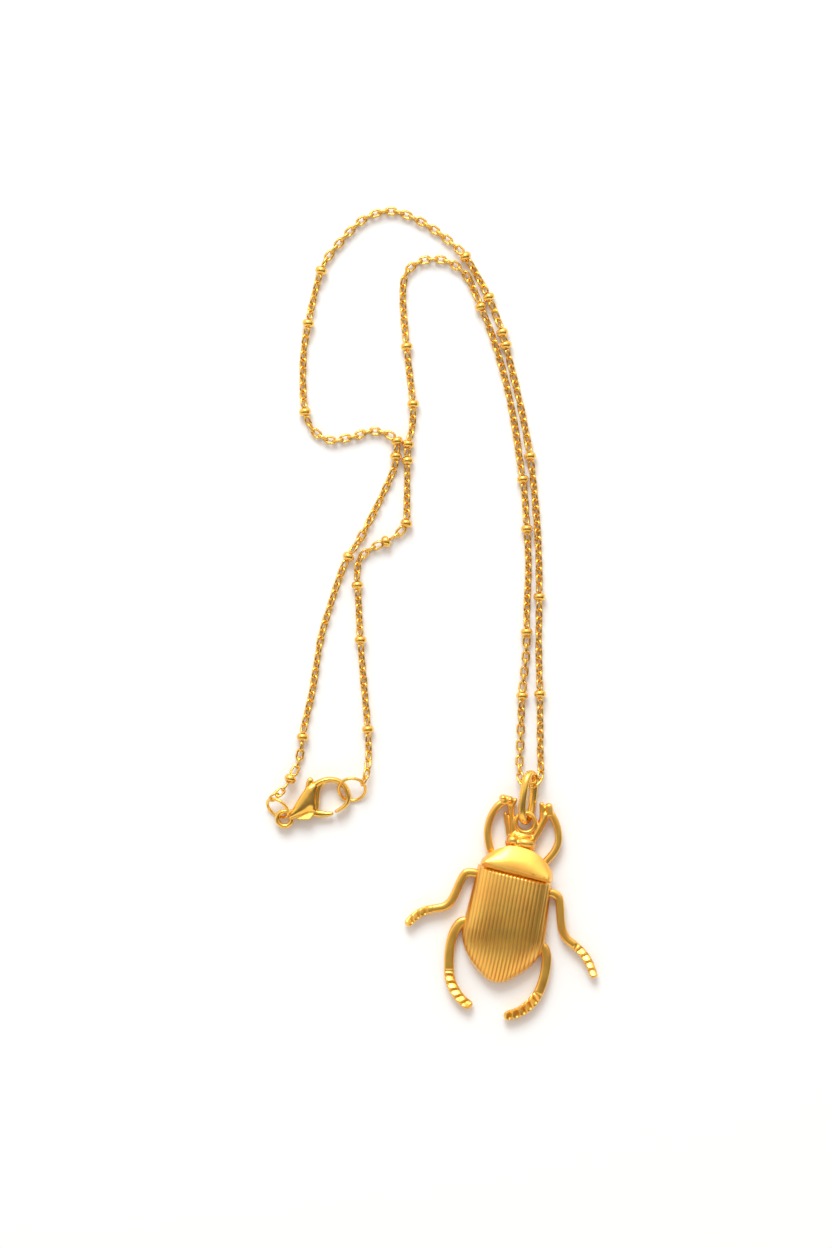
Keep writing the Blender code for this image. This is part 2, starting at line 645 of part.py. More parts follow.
def hook_ring():
    """The ring in the hook: over the hook on its far side, under it on the near side."""
    long_way = Vector((1, 0, 0))
    high_way = Vector((0, 1, 0))
    return JumpRing(HOOK_RING_CENTRE, HOOK_RING_DIAMETER, HOOK_RING_TILT, long_way, high_way)


def tail_ring():
    """The ring in the clasp's tail: down one side of the tail ring and up through its bore."""
    turn = Matrix.Rotation(math.radians(CLASP_LEAN), 3, "Z")
    long_way = turn @ Vector((*TAIL_JUMP_WAY, 0))
    return JumpRing(TAIL_JUMP_CENTRE, TAIL_RING_DIAMETER, TAIL_RING_TILT, -long_way, long_way.cross(-UP))


# Chain

def swell(distance, reach):
    """A smooth hump, one at its middle and near nothing beyond its reach."""
    return math.exp(-((distance / reach) ** 2))


def chain_line():
    """The chain's centre line in space and how far along it each point is."""
    flat = smooth_route([(x, y, 0) for x, y in ROUTE], LINK_PITCH / 2)
    marks = lengths_along(flat)
    centre, long_way, _ = bail_frame()
    top = centre + long_way * (BAIL_LENGTH / 2 - BAIL_WIRE - LINK_WIDTH)
    crossing = min(zip(marks, flat), key=lambda pair: (pair[1] - top).xy.length)[0]
    tail_height = tail_ring().point(TAIL_JUMP_LINK).z
    hook_height = hook_ring().point(HOOK_RING_LINK).z
    ends = ((0.0, tail_height), (marks[-1], hook_height))
    line = []
    for mark, point in zip(marks, flat):
        height = CHAIN_LIE
        for place in BEAD_PLACES:
            bead_rise = (BEAD_DIAMETER / 2 - CHAIN_LIE) * swell(mark - place, BEAD_SWELL)
            height = max(height, CHAIN_LIE + bead_rise)
        height += BAIL_RISE * swell(mark - crossing, BAIL_REACH)
        for place, end_height in ends:
            height += (end_height - CHAIN_LIE) * swell(mark - place, END_REACH)
        line.append(point + UP * height)
    return line, marks


def point_at(line, marks, mark):
    """The point of the centre line at a given way along it."""
    for (start, end), (here, there) in zip(zip(line, line[1:]), zip(marks, marks[1:])):
        if mark <= there:
            return start.lerp(end, (mark - here) / (there - here))
    return line[-1]


def runs():
    """The stretches between stops, where a stop is an end of the chain or a bead that parts two runs."""
    last = len(BEAD_PLACES) + 1
    found = [[0]]
    for stop in range(1, last):
        found[-1].append(stop)
        if stop not in THREADED_BEADS:
            found.append([stop])
    found[-1].append(last)
    return found


def chain_runs(line, marks, material):
    """Runs of links as bars whose section turns a quarter from link to link."""
    wide = LINK_WIDTH / 2
    narrow = RUN_THICKNESS / 2
    neck = BEAD_BORE / 2 - BEAD_CLEARANCE
    half_bead = BEAD_LENGTH / 2
    stops = [0.0, *BEAD_PLACES, marks[-1]]
    for number, run in enumerate(runs(), 1):
        stations = []
        for first, second in zip(run, run[1:]):
            start = stops[first]
            end = stops[second]
            if first:
                start += half_bead
                stations.append((start - (RUN_INSERT if first == run[0] else 0), neck, neck))
            if second < len(stops) - 1:
                end -= half_bead
            links = max(1, round((end - start) / LINK_PITCH))
            for link in range(links):
                sizes = (wide, narrow) if link % 2 else (narrow, wide)
                stations.append((start + (link + 0.5) * (end - start) / links, *sizes))
            if second < len(stops) - 1:
                stations.append((end + (RUN_INSERT if second == run[-1] else 0), neck, neck))
        path = [point_at(line, marks, mark) for mark, _, _ in stations]
        mesh = twisted_bar(path, [station[1:] for station in stations])
        piece(f"chain_run_{number:02d}", mesh, material)


def twisted_bar(path, sizes):
    """A four-sided bar whose corners stand at 45 degrees, two of them far out and two near."""
    vertices = []
    count = len(path)
    for index, point in enumerate(path):
        along = (path[min(index + 1, count - 1)] - path[max(index - 1, 0)]).normalized()
        across = along.cross(UP).normalized()
        rise = across.cross(along)
        for corner in range(4):
            angle = math.pi / 4 + corner * math.pi / 2
            reach = sizes[index][corner % 2]
            vertices.append(point + (across * math.cos(angle) + rise * math.sin(angle)) * reach)
    faces = [(0, 1, 2, 3), tuple(range(4 * count - 4, 4 * count))]
    for index in range(count - 1):
        for corner in range(4):
            following = (corner + 1) % 4
            here = 4 * index
            faces.append((here + corner, here + following, here + 4 + following, here + 4 + corner))
    return mesh_of("bar", vertices, faces)


def beads(line, marks, material):
    """Turned beads with a bore, threaded on the chain."""
    bore = BEAD_BORE / 2
    outer = BEAD_DIAMETER / 2
    half = BEAD_LENGTH / 2
    shoulder = outer * BEAD_SHOULDER
    profile = [(bore, -half), (shoulder, -half), (outer, 0), (shoulder, half), (bore, half)]
    sides = 8
    for number, place in enumerate(BEAD_PLACES, 1):
        centre = point_at(line, marks, place)
        along = point_at(line, marks, place + half) - point_at(line, marks, place - half)
        across = along.cross(UP).normalized()
        along.normalize()
        rise = across.cross(along)
        vertices = []
        faces = []
        for side in range(sides):
            angle = 2 * math.pi * (side + 0.5) / sides
            out = across * math.cos(angle) + rise * math.sin(angle)
            vertices += [centre + out * radius + along * shift for radius, shift in profile]
        size = len(profile)
        for side in range(sides):
            here = side * size
            there = (side + 1) % sides * size
            for index in range(size):
                following = (index + 1) % size
                faces.append((here + index, there + index, there + following, here + following))
        piece(f"bead_{number:02d}", mesh_of("bead", vertices, faces), material)


def end_link(name, jump_ring, degrees, toward, material):
    """The chain's last link, hung on a jump ring's wire and pointing towards the chain."""
    wire_point = jump_ring.point(degrees)
    through = jump_ring.way(degrees)
    long_way = toward - wire_point
    long_way = (long_way - through * long_way.dot(through)).normalized()
    centre = wire_point + long_way * LINK_SLACK
    mesh = ring(centre, LINK_LENGTH / 2, LINK_WIDTH / 2, LINK_WIRE, long_way, through, 10, 4, 2.3)
    return piece(name, mesh, material)


def main():
    for item in list(bpy.data.objects):
        bpy.data.objects.remove(item)
    satin = gold("satin_gold", (0.86, 0.60, 0.25), 0.34)
    polished = gold("polished_gold", (0.90, 0.66, 0.30), 0.16)
    bright = gold("chain_gold", (0.90, 0.67, 0.32), 0.22)
    scarab(satin)
    bail(polished)
    clasp_body(polished)
    clasp_gate(polished)
    hook_side = hook_ring()
    tail_side = tail_ring()
    piece("hook_jump_ring", hook_side.mesh(), polished)
    piece("tail_jump_ring", tail_side.mesh(), polished)
    line, marks = chain_line()
    beads(line, marks, bright)
    chain_runs(line, marks, bright)
    end_link("tail_end_link", tail_side, TAIL_JUMP_LINK, line[0], bright)
    end_link("hook_end_link", hook_side, HOOK_RING_LINK, line[-1], bright)


main()
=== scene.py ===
"""Gold scarab pendant on a beaded cable chain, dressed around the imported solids.

Every piece is made by its own operator, in metres and in the solids' frame, and replaces the
solid it stands for. The beetle and the clasp are each drawn on a grid of small squares.
"""

import math
import random

import bpy
from mathutils import Matrix, Vector


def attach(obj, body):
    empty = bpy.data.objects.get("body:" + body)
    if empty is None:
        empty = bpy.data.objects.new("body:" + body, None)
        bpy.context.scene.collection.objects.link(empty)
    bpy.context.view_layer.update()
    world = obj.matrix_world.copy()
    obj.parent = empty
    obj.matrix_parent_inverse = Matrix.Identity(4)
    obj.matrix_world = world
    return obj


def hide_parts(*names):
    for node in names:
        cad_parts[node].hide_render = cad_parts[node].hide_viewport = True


bl_info = {
    "name": "Scarab necklace",
    "version": (1, 0, 0),
    "blender": (4, 5, 0),
    "location": "View3D > Sidebar > Scarab",
    "description": "Builds a gold scarab pendant on a beaded cable chain",
    "category": "Add Mesh",
}

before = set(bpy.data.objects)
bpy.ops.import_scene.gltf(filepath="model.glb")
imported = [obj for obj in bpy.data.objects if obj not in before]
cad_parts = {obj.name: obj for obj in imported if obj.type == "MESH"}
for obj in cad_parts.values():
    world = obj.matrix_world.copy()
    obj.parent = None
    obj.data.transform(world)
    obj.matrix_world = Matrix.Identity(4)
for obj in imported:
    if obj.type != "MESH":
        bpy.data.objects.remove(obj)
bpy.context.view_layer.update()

UP = Vector((0, 0, 1))
BODY = "necklace"
GATE_BODY = "gate"

# The beetle and the clasp are drawn in squares of this size, in the photograph's own scale
SQUARE = 0.000175
BEETLE_PLACE = Vector((0.0134, -0.0509, 0))
BEETLE_LEAN = math.radians(-10.3)
CLASP_PLACE = Vector((-0.0204, -0.0331, 0))
CLASP_LEAN = math.radians(18)

# Chain: the way of its centre over the table, from the clasp's tail ring to its hook ring
ROUTE = (
    (-0.0271, -0.0315), (-0.0258, -0.0303), (-0.0248, -0.0287), (-0.0236, -0.0264),
    (-0.0230, -0.0235), (-0.0224, -0.0194), (-0.0211, -0.0138), (-0.0195, -0.0040),
    (-0.0183, 0.0002), (-0.0160, 0.0072), (-0.0148, 0.0099), (-0.0129, 0.0128), (-0.0085, 0.0214),
    (-0.0065, 0.0262), (-0.0064, 0.0280), (-0.0062, 0.0302), (-0.0078, 0.0315),
    (-0.0113, 0.0320), (-0.0134, 0.0311), (-0.0153, 0.0308), (-0.0171, 0.0303),
    (-0.0200, 0.0313), (-0.0213, 0.0327), (-0.0223, 0.0353), (-0.0227, 0.0408),
    (-0.0225, 0.0464), (-0.0218, 0.0506), (-0.0206, 0.0562), (-0.0190, 0.0613),
    (-0.0166, 0.0646), (-0.0130, 0.0684), (-0.0109, 0.0698), (-0.0085, 0.0705),
    (-0.0066, 0.0705), (-0.0022, 0.0688), (0.0034, 0.0649), (0.0057, 0.0626),
    (0.0079, 0.0591), (0.0099, 0.0553), (0.0122, 0.0493), (0.0128, 0.0471), (0.0137, 0.0436),
    (0.0157, 0.0352), (0.0172, 0.0268), (0.0181, 0.0184), (0.0186, 0.0100),
    (0.0187, 0.0030), (0.0186, -0.0054), (0.0188, -0.0140), (0.0189, -0.0255),
    (0.0190, -0.0277), (0.0185, -0.0294), (0.0173, -0.0301), (0.0162, -0.0299),
    (0.0154, -0.0291), (0.0152, -0.0275), (0.0154, -0.0222), (0.0157, -0.0140),
    (0.0164, -0.0068), (0.0165, 0.0002), (0.0168, 0.0086), (0.0165, 0.0151),
    (0.0161, 0.0212), (0.0153, 0.0268), (0.0145, 0.0324), (0.0128, 0.0408),
    (0.0103, 0.0492), (0.0084, 0.0539), (0.0059, 0.0593), (0.0032, 0.0615),
    (-0.0001, 0.0622), (-0.0032, 0.0612), (-0.0047, 0.0595), (-0.0052, 0.0562),
    (-0.0045, 0.0466), (-0.0037, 0.0394), (-0.0034, 0.0366), (-0.0036, 0.0324),
    (-0.0043, 0.0296), (-0.0044, 0.0256), (-0.0045, 0.0184), (-0.0046, 0.0158),
    (-0.0062, 0.0138), (-0.0083, 0.0126), (-0.0108, 0.0114), (-0.0128, 0.0096),
    (-0.0132, 0.0070), (-0.0130, 0.0030), (-0.0126, -0.0048), (-0.0120, -0.0124),
    (-0.0113, -0.0205), (-0.0112, -0.0250), (-0.0114, -0.0272), (-0.0117, -0.0286),
)
BEAD_PLACES = (
    0.0035, 0.0112, 0.0439, 0.0635, 0.0662, 0.0858, 0.1014, 0.1109, 0.1434, 0.1516,
    0.1582, 0.1605, 0.1804, 0.2051, 0.2221, 0.2561, 0.2673, 0.2854, 0.2941, 0.3253,
    0.3567, 0.3668, 0.3739, 0.3768, 0.3878, 0.3927, 0.4030, 0.4126, 0.4283,
)
# Beads that one solid run of links goes right through
THREADED_BEADS = (2, 7, 10, 14, 18, 21, 26)
# Where the chain isn't pulled straight: its links lie flat and on edge in turn
LOOSE_STRETCHES = (
    (0.0000, 0.0105), (0.0470, 0.0500), (0.0666, 0.0831), (0.1120, 0.1434), (0.2423, 0.2520),
    (0.2570, 0.2680), (0.3310, 0.3440), (0.3892, 0.3976),
)

LINK_LENGTH = 0.00216
LINK_WIDTH = 0.00157
LINK_WIRE = 0.00046
LINK_PITCH = 0.00138
BEAD_LENGTH = 0.0013
BEAD_SWELL = 0.0022
LINK_SEAT = 0.00017
END_LINK_SLACK = 0.00008
TAIL_LINK_ANGLE = 30
HOOK_LINK_ANGLE = 35
BAIL_LENGTH = 0.0096
BAIL_WIDTH = 0.0049
BAIL_LEAN = math.radians(-7)
BAIL_TILT = math.radians(60)
BAIL_SLACK = 0.0011
EYE_MIDDLE = 84.5
EYE_RIM = 0.00185
BAIL_RISE = 0.0016
BAIL_REACH = 0.0034
END_REACH = 0.0030
RING_WIRE = 0.00056


def size_property(name, description, default):
    """A size in metres."""
    return bpy.props.FloatProperty(name=name, description=description, default=default, unit="LENGTH")


def gloss_property(name, description, default):
    """A roughness, from none to full."""
    return bpy.props.FloatProperty(name=name, description=description, default=default, min=0, max=1)


def color_property(name, description, default):
    """A colour."""
    return bpy.props.FloatVectorProperty(name=name, description=description, default=default, subtype="COLOR")


class PendantSizes(bpy.types.PropertyGroup):
    """Sizes of the cast beetle and its bail."""

    shell_height: size_property("Wing case height", "Top of the wing cases above the table", 0.0045)
    shell_edge: size_property("Wing case edge", "Height of the wing cases' rim", 0.0015)
    rib_count: bpy.props.IntProperty(name="Ribs", description="Ribs across the wing cases", default=22, min=3)
    rib_depth: size_property("Rib depth", "From a rib's crest to its groove", 0.00011)
    collar_height: size_property("Collar height", "Top of the smooth collar above the table", 0.0053)
    leg_height: size_property("Leg thickness", "Height of a leg's section", 0.0017)
    bail_wire: size_property("Bail wire", "Thickness of the bail's wire", 0.00118)


class ChainSizes(bpy.types.PropertyGroup):
    """Sizes of the links and the beads."""

    bead_diameter: size_property("Bead diameter", "Across a threaded bead", 0.0021)
    link_wander: bpy.props.FloatProperty(
        name="Link wander", description="How far a link may turn from its neighbours' pattern",
        default=math.radians(9), subtype="ANGLE"
    )


class FinishColors(bpy.types.PropertyGroup):
    """Colours and gloss of the gold and the table."""

    satin: color_property("Satin gold", "Cast and satin brushed gold", (0.98, 0.57, 0.052))
    satin_deep: color_property("Satin gold, deep", "The same gold in its low places", (0.95, 0.48, 0.032))
    bright: color_property("Bright gold", "Polished gold of chain, bail and clasp", (0.97, 0.58, 0.075))
    satin_roughness: gloss_property("Satin roughness", "Roughness of the beetle", 0.33)
    chain_roughness: gloss_property("Chain roughness", "Roughness of links and beads", 0.17)
    polish_roughness: gloss_property("Polished roughness", "Roughness of bail, rings and clasp", 0.22)
    table: color_property("Table", "Colour of the pale table", (0.93, 0.93, 0.93))


# Shared ways of making a piece


def only(item):
    """Selects one object alone."""
    bpy.ops.object.select_all(action="DESELECT")
    item.select_set(True)
    bpy.context.view_layer.objects.active = item


def pick_points(item, wanted):
    """Selects the points that pass a test, and leaves the object in edit mode."""
    only(item)
    bpy.ops.object.mode_set(mode="EDIT")
    bpy.ops.mesh.select_mode(type="VERT")
    bpy.ops.mesh.select_all(action="DESELECT")
    bpy.ops.object.mode_set(mode="OBJECT")
    for vertex in item.data.vertices:
        vertex.select = wanted(vertex.co)
    bpy.ops.object.mode_set(mode="EDIT")


def named(name):
    """Gives the primitive that was just added its piece's name."""
    item = bpy.context.object
    item.name = name
    item.data.name = name
    return item


def edit_all(item):
    """Opens a piece in edit mode with all of it selected."""
    only(item)
    bpy.ops.object.mode_set(mode="EDIT")
    bpy.ops.mesh.select_all(action="SELECT")


def close_skin(item):
    """Merges the seam and the poles, and turns every face outwards."""
    edit_all(item)
    bpy.ops.mesh.remove_doubles(threshold=0.000002)
    bpy.ops.mesh.dissolve_degenerate(threshold=0.000001)
    bpy.ops.mesh.normals_make_consistent(inside=False)
    bpy.ops.object.mode_set(mode="OBJECT")


def clamped(value):
    """The value, held between none and one."""
    return min(1.0, max(0.0, value))


def skin(name, along, around, place):
    """A closed skin from a grid: place(s, a) gives the point s along the piece and a round it."""
    bpy.ops.object.select_all(action="DESELECT")
    bpy.ops.mesh.primitive_grid_add(x_subdivisions=along, y_subdivisions=around, size=2)
    item = named(name)
    for vertex in item.data.vertices:
        vertex.co = place((vertex.co.x + 1) / 2, (vertex.co.y + 1) / 2)
    close_skin(item)
    return item


def alter(item, kind, **traits):
    """Puts one modifier with these traits on a piece and applies it."""
    modifier = item.modifiers.new(kind.lower(), kind)
    for name, value in traits.items():
        setattr(modifier, name, value)
    only(item)
    bpy.ops.object.modifier_apply(modifier=modifier.name)


def join(items, name):
    """Several shaped parts as one object."""
    only(items[0])
    for item in items[1:]:
        item.select_set(True)
    if len(items) > 1:
        bpy.ops.object.join()
    return named(name)


def cast(items, name, grain, rounds):
    """Melts shaped parts that overlap into one casting with soft corners."""
    item = join(items, name)
    alter(item, "REMESH", mode="VOXEL", voxel_size=grain)
    alter(item, "SMOOTH", factor=0.5, iterations=rounds)
    return item


def settle(item, place, lean):
    """Sets a piece drawn on its own grid down in the frame, with its place in its mesh."""
    only(item)
    item.location = place
    item.rotation_euler = (0, 0, lean)
    bpy.ops.object.transform_apply(location=True, rotation=True, scale=True)


def finish_piece(item, body, material, nodes, sharp=40):
    """Smooths a piece, gives it its gold and hangs it on its body."""
    only(item)
    bpy.ops.object.shade_smooth_by_angle(angle=math.radians(sharp))
    item.data.materials.clear()
    item.data.materials.append(material)
    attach(item, body)
    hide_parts(*nodes)


def rounded(points, step):
    """Points a step apart on a centripetal Catmull-Rom curve through the given points."""
    points = [Vector(point) for point in points]
    ends = [points[0] * 2 - points[1], *points, points[-1] * 2 - points[-2]]
    dense = []
    for p0, p1, p2, p3 in zip(ends, ends[1:], ends[2:], ends[3:]):
        t1 = math.sqrt((p1 - p0).length)
        t2 = t1 + math.sqrt((p2 - p1).length)
        t3 = t2 + math.sqrt((p3 - p2).length)
        pieces = max(2, round((p2 - p1).length / step * 4))
        for index in range(pieces):
            t = t1 + (t2 - t1) * index / pieces
            a1 = p0.lerp(p1, t / t1)
            a2 = p1.lerp(p2, (t - t1) / (t2 - t1))
            a3 = p2.lerp(p3, (t - t2) / (t3 - t2))
            b1 = a1.lerp(a2, t / t2)
            b2 = a2.lerp(a3, (t - t1) / (t3 - t1))
            dense.append(b1.lerp(b2, (t - t1) / (t2 - t1)))
    dense.append(points[-1])
    return dense


def on_squares(points):
    """Points on the table from pairs in squares."""
    return [Vector((x * SQUARE, y * SQUARE, 0)) for x, y, *_ in points]


class Way:
    """A smooth line that can be asked for its point and direction at any distance."""

    def __init__(self, points, step):
        self.points = rounded(points, step)
        self.marks = [0.0]
        for start, end in zip(self.points, self.points[1:]):
            self.marks.append(self.marks[-1] + (end - start).length)
        self.length = self.marks[-1]

    def point(self, mark):
        mark = min(max(mark, 0.0), self.length)
        low, high = 0, len(self.marks) - 1
        while high - low > 1:
            middle = (low + high) // 2
            if self.marks[middle] <= mark:
                low = middle
            else:
                high = middle
        span = self.marks[high] - self.marks[low]
        share = (mark - self.marks[low]) / span if span else 0.0
        return self.points[low].lerp(self.points[high], share)

    def mark_near(self, target):
        nearest = min(range(len(self.points)), key=lambda index: (self.points[index] - target).length)
        return self.marks[nearest]

    def direction(self, mark):
        reach = self.length * 0.004
        return (self.point(mark + reach) - self.point(mark - reach)).normalized()


def squared(angle, squareness):
    """Cosine and sine of an angle, on a circle pressed towards a square; at 2 it stays a circle."""
    power = 2 / squareness
    return [math.copysign(abs(value) ** power, value) for value in (math.cos(angle), math.sin(angle))]


def bar(name, points, heights, along, around, squareness=2.0, teeth=None):
    """A cast bar on the grid: points hold x, y and half-width in squares, and heights its low and high sides.

    teeth are notches towards the far end: how many, rows of the skin each, depth as a share of the
    height, the side they are cut from, and how far they lean back as a share of their length.
    """
    way = Way(on_squares(points), SQUARE * 2)
    marks = [way.mark_near(point) for point in on_squares(points)]
    marks[0] = 0.0
    marks[-1] = way.length
    low, high = heights
    middle = (low + high) / 2

    def half_width(mark):
        for m0, m1, first, second in zip(marks, marks[1:], points, points[1:]):
            if mark <= m1:
                share = (mark - m0) / max(m1 - m0, 1e-9)
                return (first[2] + (second[2] - first[2]) * share) * SQUARE
        return points[-1][2] * SQUARE

    def place(s, a):
        mark = s * way.length
        angle = 2 * math.pi * a
        sunk = 0.0
        if teeth:
            count, rows, depth, facing, lean = teeth
            start = 1 - count * rows / along
            if s > start:
                step = (s - start) / (1 - start) * count
                share = step % 1.0
                notch = share / 0.58 if share < 0.58 else (1 - share) / 0.42
                side = clamped(1.7 * math.cos(angle - facing) - 0.25)
                sunk = depth * (1 - notch) * side * min(1.0, step * 2) * min(1.0, (count - step) * 2 + 0.3)
                fade = min(1.0, step) * min(1.0, count - step)
                mark += lean * math.sin(angle - facing) * way.length * rows / along * fade
        wide = half_width(mark)
        cap = 1.0
        for distance in (s * way.length, (1 - s) * way.length):
            if distance < wide:
                cap = min(cap, math.sqrt(max(0.0, 1 - (1 - distance / wide) ** 2)))
        centre = way.point(mark)
        across = way.direction(mark).cross(UP)
        cosine, sine = squared(angle, squareness)
        out = cosine * wide * cap * (1 - sunk * 0.15)
        rise = sine * (high - low) / 2 * cap * (1 - sunk)
        return centre + across * out + UP * (middle + rise)

    return skin(name, along, around, place)


def ring_skin(
    name, centre, long_way, normal, long_half, short_half, wire, along, around, squareness=2.0, flat=1.0
):
    """A closed ring of wire in the plane square to the normal; flat presses the wire along the normal."""
    short_way = normal.cross(long_way).normalized()

    def middle(angle):
        far, side = squared(angle, squareness)
        far *= long_half - wire / 2
        side *= short_half - wire / 2
        return centre + long_way * far + short_way * side

    def place(s, a):
        angle = 2 * math.pi * s
        here = middle(angle)
        along_way = (middle(angle + 0.01) - middle(angle - 0.01)).normalized()
        out = along_way.cross(normal).normalized()
        turn = 2 * math.pi * a
        return here + out * math.cos(turn) * wire / 2 + normal * math.sin(turn) * wire / 2 * flat

    return skin(name, along, around, place)


# Gold and the table


# Numbers of a colour Mix node's inputs and of its output
FACTOR, FIRST, SECOND, MIXED = 0, 6, 7, 2
# Brown painted along the scratch down the collar, and as painted shade in the grooves between the ribs
SCRATCH_AND_SHADE_BROWN = (0.36, 0.13, 0.018)
# The scratch down the collar: its ends in squares, and how far it reaches to each side
SCRATCH_ENDS = ((-10, 56), (-14, 44))
SCRATCH_REACH = 0.00016


def add_node(tree, kind, values=None, **traits):
    """A shader node with its traits and the plain values of its inputs set."""
    node = tree.nodes.new("ShaderNode" + kind)
    for name, value in traits.items():
        setattr(node, name, value)
    for label, value in (values or {}).items():
        node.inputs[label].default_value = value
    return node


def map_range(tree, *limits, **traits):
    """A Map Range node: low and high of what goes in, then of what comes out."""
    labels = ("From Min", "From Max", "To Min", "To Max")
    return add_node(tree, "MapRange", dict(zip(labels, limits)), **traits)


def math_node(tree, operation, second=None):
    """A Math node, with its second value where that is plain."""
    return add_node(tree, "Math", {} if second is None else {1: second}, operation=operation)


def color_mix(tree, first, second):
    """A Mix node between two colours."""
    return add_node(tree, "Mix", {FIRST: (*first, 1), SECOND: (*second, 1)}, data_type="RGBA")


def wire_up(tree, *links):
    """Links outputs to inputs, each given as a node and its socket's name or number."""
    for source, out, target, into in links:
        tree.links.new(source.outputs[out], target.inputs[into])


def shader_group(name, inputs, outputs):
    """An empty node group and its two end nodes; an input without a value is a vector."""
    group = bpy.data.node_groups.new(name, "ShaderNodeTree")
    for label, value in inputs.items():
        kind = "NodeSocketVector" if value is None else "NodeSocketFloat"
        socket = group.interface.new_socket(name=label, in_out="INPUT", socket_type=kind)
        if value is not None:
            socket.default_value = value
    for label in outputs:
        group.interface.new_socket(name=label, in_out="OUTPUT", socket_type="NodeSocketFloat")
    return group, group.nodes.new("NodeGroupInput"), group.nodes.new("NodeGroupOutput")


def group_node(tree, name, build):
    """A node that runs a shared group, which is built the first time."""
    if name not in bpy.data.node_groups:
        build(name)
    return add_node(tree, "Group", node_tree=bpy.data.node_groups[name])


def cast_grain(name):
    """The soft unevenness of a casting: a fine grain, larger clouds of tone, and a height for the bump."""
    group, start, end = shader_group(
        name, {"Vector": None, "Grain size": 3000.0, "Cloud size": 260.0}, ("Tone", "Height")
    )
    grain = add_node(group, "TexNoise", {"Detail": 3})
    clouds = add_node(group, "TexNoise", {"Detail": 2})
    spread = map_range(group, 0.35, 0.65)
    mixed = math_node(group, "MULTIPLY", 0.35)
    total = math_node(group, "ADD")
    wire_up(
        group,
        (start, "Vector", grain, "Vector"),
        (start, "Grain size", grain, "Scale"),
        (start, "Vector", clouds, "Vector"),
        (start, "Cloud size", clouds, "Scale"),
        (clouds, "Fac", spread, "Value"),
        (spread, "Result", end, "Tone"),
        (clouds, "Fac", mixed, 0),
        (grain, "Fac", total, 0),
        (mixed, 0, total, 1),
        (total, 0, end, "Height"),
    )


def fine_brush(name):
    """Hair lines that run one way, as a satin brush leaves them."""
    group, start, end = shader_group(name, {"Vector": None, "Line density": 9000.0, "Lean": 0.0}, ("Lines",))
    turn = add_node(group, "VectorRotate", rotation_type="Z_AXIS")
    stretch = add_node(group, "VectorMath", {1: (1, 0.03, 0.4)}, operation="MULTIPLY")
    lines = add_node(group, "TexNoise", {"Detail": 2})
    wire_up(
        group,
        (start, "Vector", turn, "Vector"),
        (start, "Lean", turn, "Angle"),
        (turn, "Vector", stretch, 0),
        (stretch, "Vector", lines, "Vector"),
        (start, "Line density", lines, "Scale"),
        (lines, "Fac", end, "Lines"),
    )


def handling_marks(name):
    """Faint smudges and the odd fine scratch from handling."""
    group, start, end = shader_group(
        name, {"Vector": None, "Smudge size": 500.0, "Scratch size": 700.0}, ("Smudges", "Scratches")
    )
    smudges = add_node(group, "TexNoise", {"Detail": 4})
    scratches = add_node(group, "TexVoronoi", feature="DISTANCE_TO_EDGE")
    thin = map_range(group, 0.0, 0.02, 1.0, 0.0)
    wire_up(
        group,
        (start, "Vector", smudges, "Vector"),
        (start, "Smudge size", smudges, "Scale"),
        (start, "Vector", scratches, "Vector"),
        (start, "Scratch size", scratches, "Scale"),
        (scratches, "Distance", thin, "Value"),
        (smudges, "Fac", end, "Smudges"),
        (thin, "Result", end, "Scratches"),
    )


def scratch_and_groove_shade(name):
    """Where the casting is painted browner: shade painted into the grooves between the ribs, and one scratch
    down the collar.
    """
    group, start, end = shader_group(name, {"Vector": None, "Groove": 0.0}, ("Scratch and shade",))
    top, low = [beetle_point(x, y, 0) for x, y in SCRATCH_ENDS]
    along = (low - top).normalized()
    half = (low - top).length / 2
    offset = add_node(group, "VectorMath", {1: top}, operation="SUBTRACT")
    scratch = math_node(group, "MULTIPLY")
    wire_up(group, (start, "Vector", offset, 0))
    limits = ((along.cross(UP), 0.0, SCRATCH_REACH), (along, half, half))
    for index, (way, middle, reach) in enumerate(limits):
        project = add_node(group, "VectorMath", {1: way}, operation="DOT_PRODUCT")
        shift = math_node(group, "SUBTRACT", middle)
        size = math_node(group, "ABSOLUTE")
        mask = map_range(group, reach * 0.25, reach, 1.0, 0.0)
        wire_up(
            group,
            (offset, "Vector", project, 0),
            (project, "Value", shift, 0),
            (shift, 0, size, 0),
            (size, 0, mask, "Value"),
            (mask, "Result", scratch, index),
        )
    faint = math_node(group, "MULTIPLY", 0.8)
    # Half of the groove mask becomes painted shade
    deep = math_node(group, "MULTIPLY", 0.5)
    total = math_node(group, "ADD")
    wire_up(
        group,
        (scratch, 0, faint, 0),
        (start, "Groove", deep, 0),
        (faint, 0, total, 0),
        (deep, 0, total, 1),
        (total, 0, end, "Scratch and shade"),
    )


